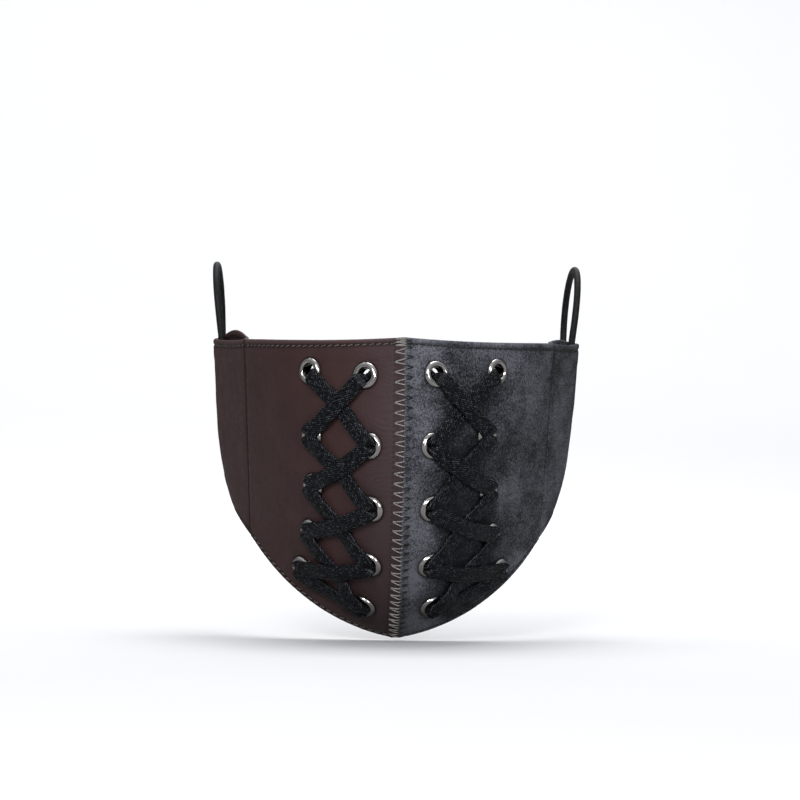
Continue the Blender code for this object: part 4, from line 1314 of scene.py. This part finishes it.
def paper_finish():
    """Matt pale paper; it looks lighter to the camera than it shines on the mask."""
    made, tree = new_finish("pale_paper", 0.95, 0.0)
    seen = blended(tree, ramp(tree, noise(tree, 3.0), 0.3, 0.7), *PAPER_SEEN)
    direct = node(tree, "LightPath").outputs["Is Camera Ray"]
    return finished(made, blended(tree, direct, PAPER_SHINING, seen))


def add_floor(level):
    """Pale floor that curves up into a backdrop."""
    radius, front, back, width, height = 0.8, -4.0, 1.6, 8.0, 5.0
    arc = [(back + radius * sin(a), level + radius * (1 - cos(a))) for a in np.linspace(0, pi / 2, 24)]
    profile = np.array([(front, level)] + arc + [(back + radius, level + height)])
    columns = np.linspace(-width / 2, width / 2, 9)
    points = np.array([[(x, y, z) for x in columns] for y, z in profile]).reshape(-1, 3)
    index = np.arange(len(points)).reshape(len(profile), len(columns))
    quads = np.stack([index[:-1, :-1], index[:-1, 1:], index[1:, 1:], index[1:, :-1]], -1).reshape(-1, 4)
    floor = piece("studio_floor", points, [quads], paper_finish())


# Name, place, target, size in metres and watts of each light.
MASK_MIDDLE = (0, -0.02, 0.08)
LIGHTS = (
    ("key", (-0.4, -1.5, 0.7), MASK_MIDDLE, 0.55, 13),
    ("fill", (0.55, -1.5, 0.3), MASK_MIDDLE, 0.5, 6),
    ("top", (0.1, 0.1, 1.5), MASK_MIDDLE, 0.8, 7),
    ("back", (0.2, 1.3, 0.9), MASK_MIDDLE, 1.0, 4),
    ("backdrop", (0, 0.9, 1.9), (0, 2.3, 0.7), 1.6, 36),
)
CAMERA_YAW, CAMERA_PITCH, CAMERA_TILT = radians(2.1), radians(0.75), radians(-0.82)
CAMERA_FOCUS, CAMERA_DISTANCE, FRAME_WIDTH = np.array([0.0, -0.022, 0.0908]), 1.70, 0.3017
SENSOR_WIDTH = 36.0                     # millimetres


def add_light(name, centre, target, size, power):
    """Square soft light aimed at a target."""
    data = bpy.data.lights.new(name, "AREA")
    data.shape, data.size, data.energy = "SQUARE", size, power
    light = bpy.data.objects.new(name, data)
    bpy.context.scene.collection.objects.link(light)
    back = unit(np.array(centre) - np.array(target))
    right = unit(np.cross(np.array([0, 0, 1.0]), back))
    turn = np.stack([right, np.cross(back, right), back], 1)
    light.matrix_world = matrix(turn, np.array(centre))


def matrix(turn, centre):
    """4x4 matrix of a rotation and a place."""
    made = np.eye(4)
    made[:3, :3], made[:3, 3] = turn, centre
    return Matrix(made.tolist())


def add_lights():
    """Large soft key from the upper left, a fill from the right and a light from above."""
    for light in LIGHTS:
        add_light(*light)
    studio = bpy.data.worlds.new("studio")
    studio.use_nodes = True
    tree = studio.node_tree
    height = node(tree, "SeparateXYZ", {0: node(tree, "TexCoord").outputs["Generated"]}).outputs["Z"]
    glow = blended(tree, ramp(tree, height, -0.1, 0.8), SKY_LOW, SKY_HIGH)
    tree.links.new(glow, tree.nodes["Background"].inputs["Color"])
    bpy.context.scene.world = studio
    bpy.context.scene.view_settings.view_transform = "Standard"


def add_camera():
    """Camera in front of the mask, a little to its brown side and a little above."""
    yaw, pitch, tilt = CAMERA_YAW, CAMERA_PITCH, CAMERA_TILT
    ahead = np.array([sin(yaw) * cos(pitch), cos(yaw) * cos(pitch), -sin(pitch)])
    level = np.array([cos(yaw), -sin(yaw), 0])
    rise = np.cross(level, ahead)
    right = level * cos(tilt) - rise * sin(tilt)
    above = rise * cos(tilt) + level * sin(tilt)
    data = bpy.data.cameras.new("camera")
    data.sensor_width = SENSOR_WIDTH
    data.lens = SENSOR_WIDTH * CAMERA_DISTANCE / FRAME_WIDTH
    camera = bpy.data.objects.new("camera", data)
    bpy.context.scene.collection.objects.link(camera)
    eye = CAMERA_FOCUS - ahead * CAMERA_DISTANCE
    camera.matrix_world = matrix(np.stack([right, above, -ahead], 1), eye)
    bpy.context.scene.camera = camera


# ---- the mask

def build():
    """Every visible piece of the mask."""
    leather = {"brown": brown_finish(), "grey": grey_finish()}
    cotton, metal = woven_finish(), metal_finish()
    lace = yarn_finish("waxed_lace", LACE_DARK, LACE_LIT_CROWN, LACE_GLEAM, 0.34)
    elastic = yarn_finish("elastic_cover", CORD_DARK, CORD_LIT_CROWN, CORD_GLEAM, 0.50)
    pale = thread_finish("pale_thread", *PALE_THREAD)
    warm = thread_finish("zigzag_thread", *ZIGZAG_TINTS)
    black = thread_finish("black_thread", *BLACK_THREAD)
    for colour, side in SIDES.items():
        leather_half(colour, side, leather[colour])
        lining_half(colour, side, cotton)
        add_eyelets(colour, side, metal)
        add_lace(colour, side, lace)
        add_casing(colour, side, leather[colour])
        add_seam_tape(colour, side, cotton)
        add_ear_loop(colour, side, elastic)
        add_stitching(colour, side, pale if colour == "brown" else black, black)
    add_zigzag(warm)


build()
add_floor(cad_box[0].z - 0.0006)
add_lights()
add_camera()
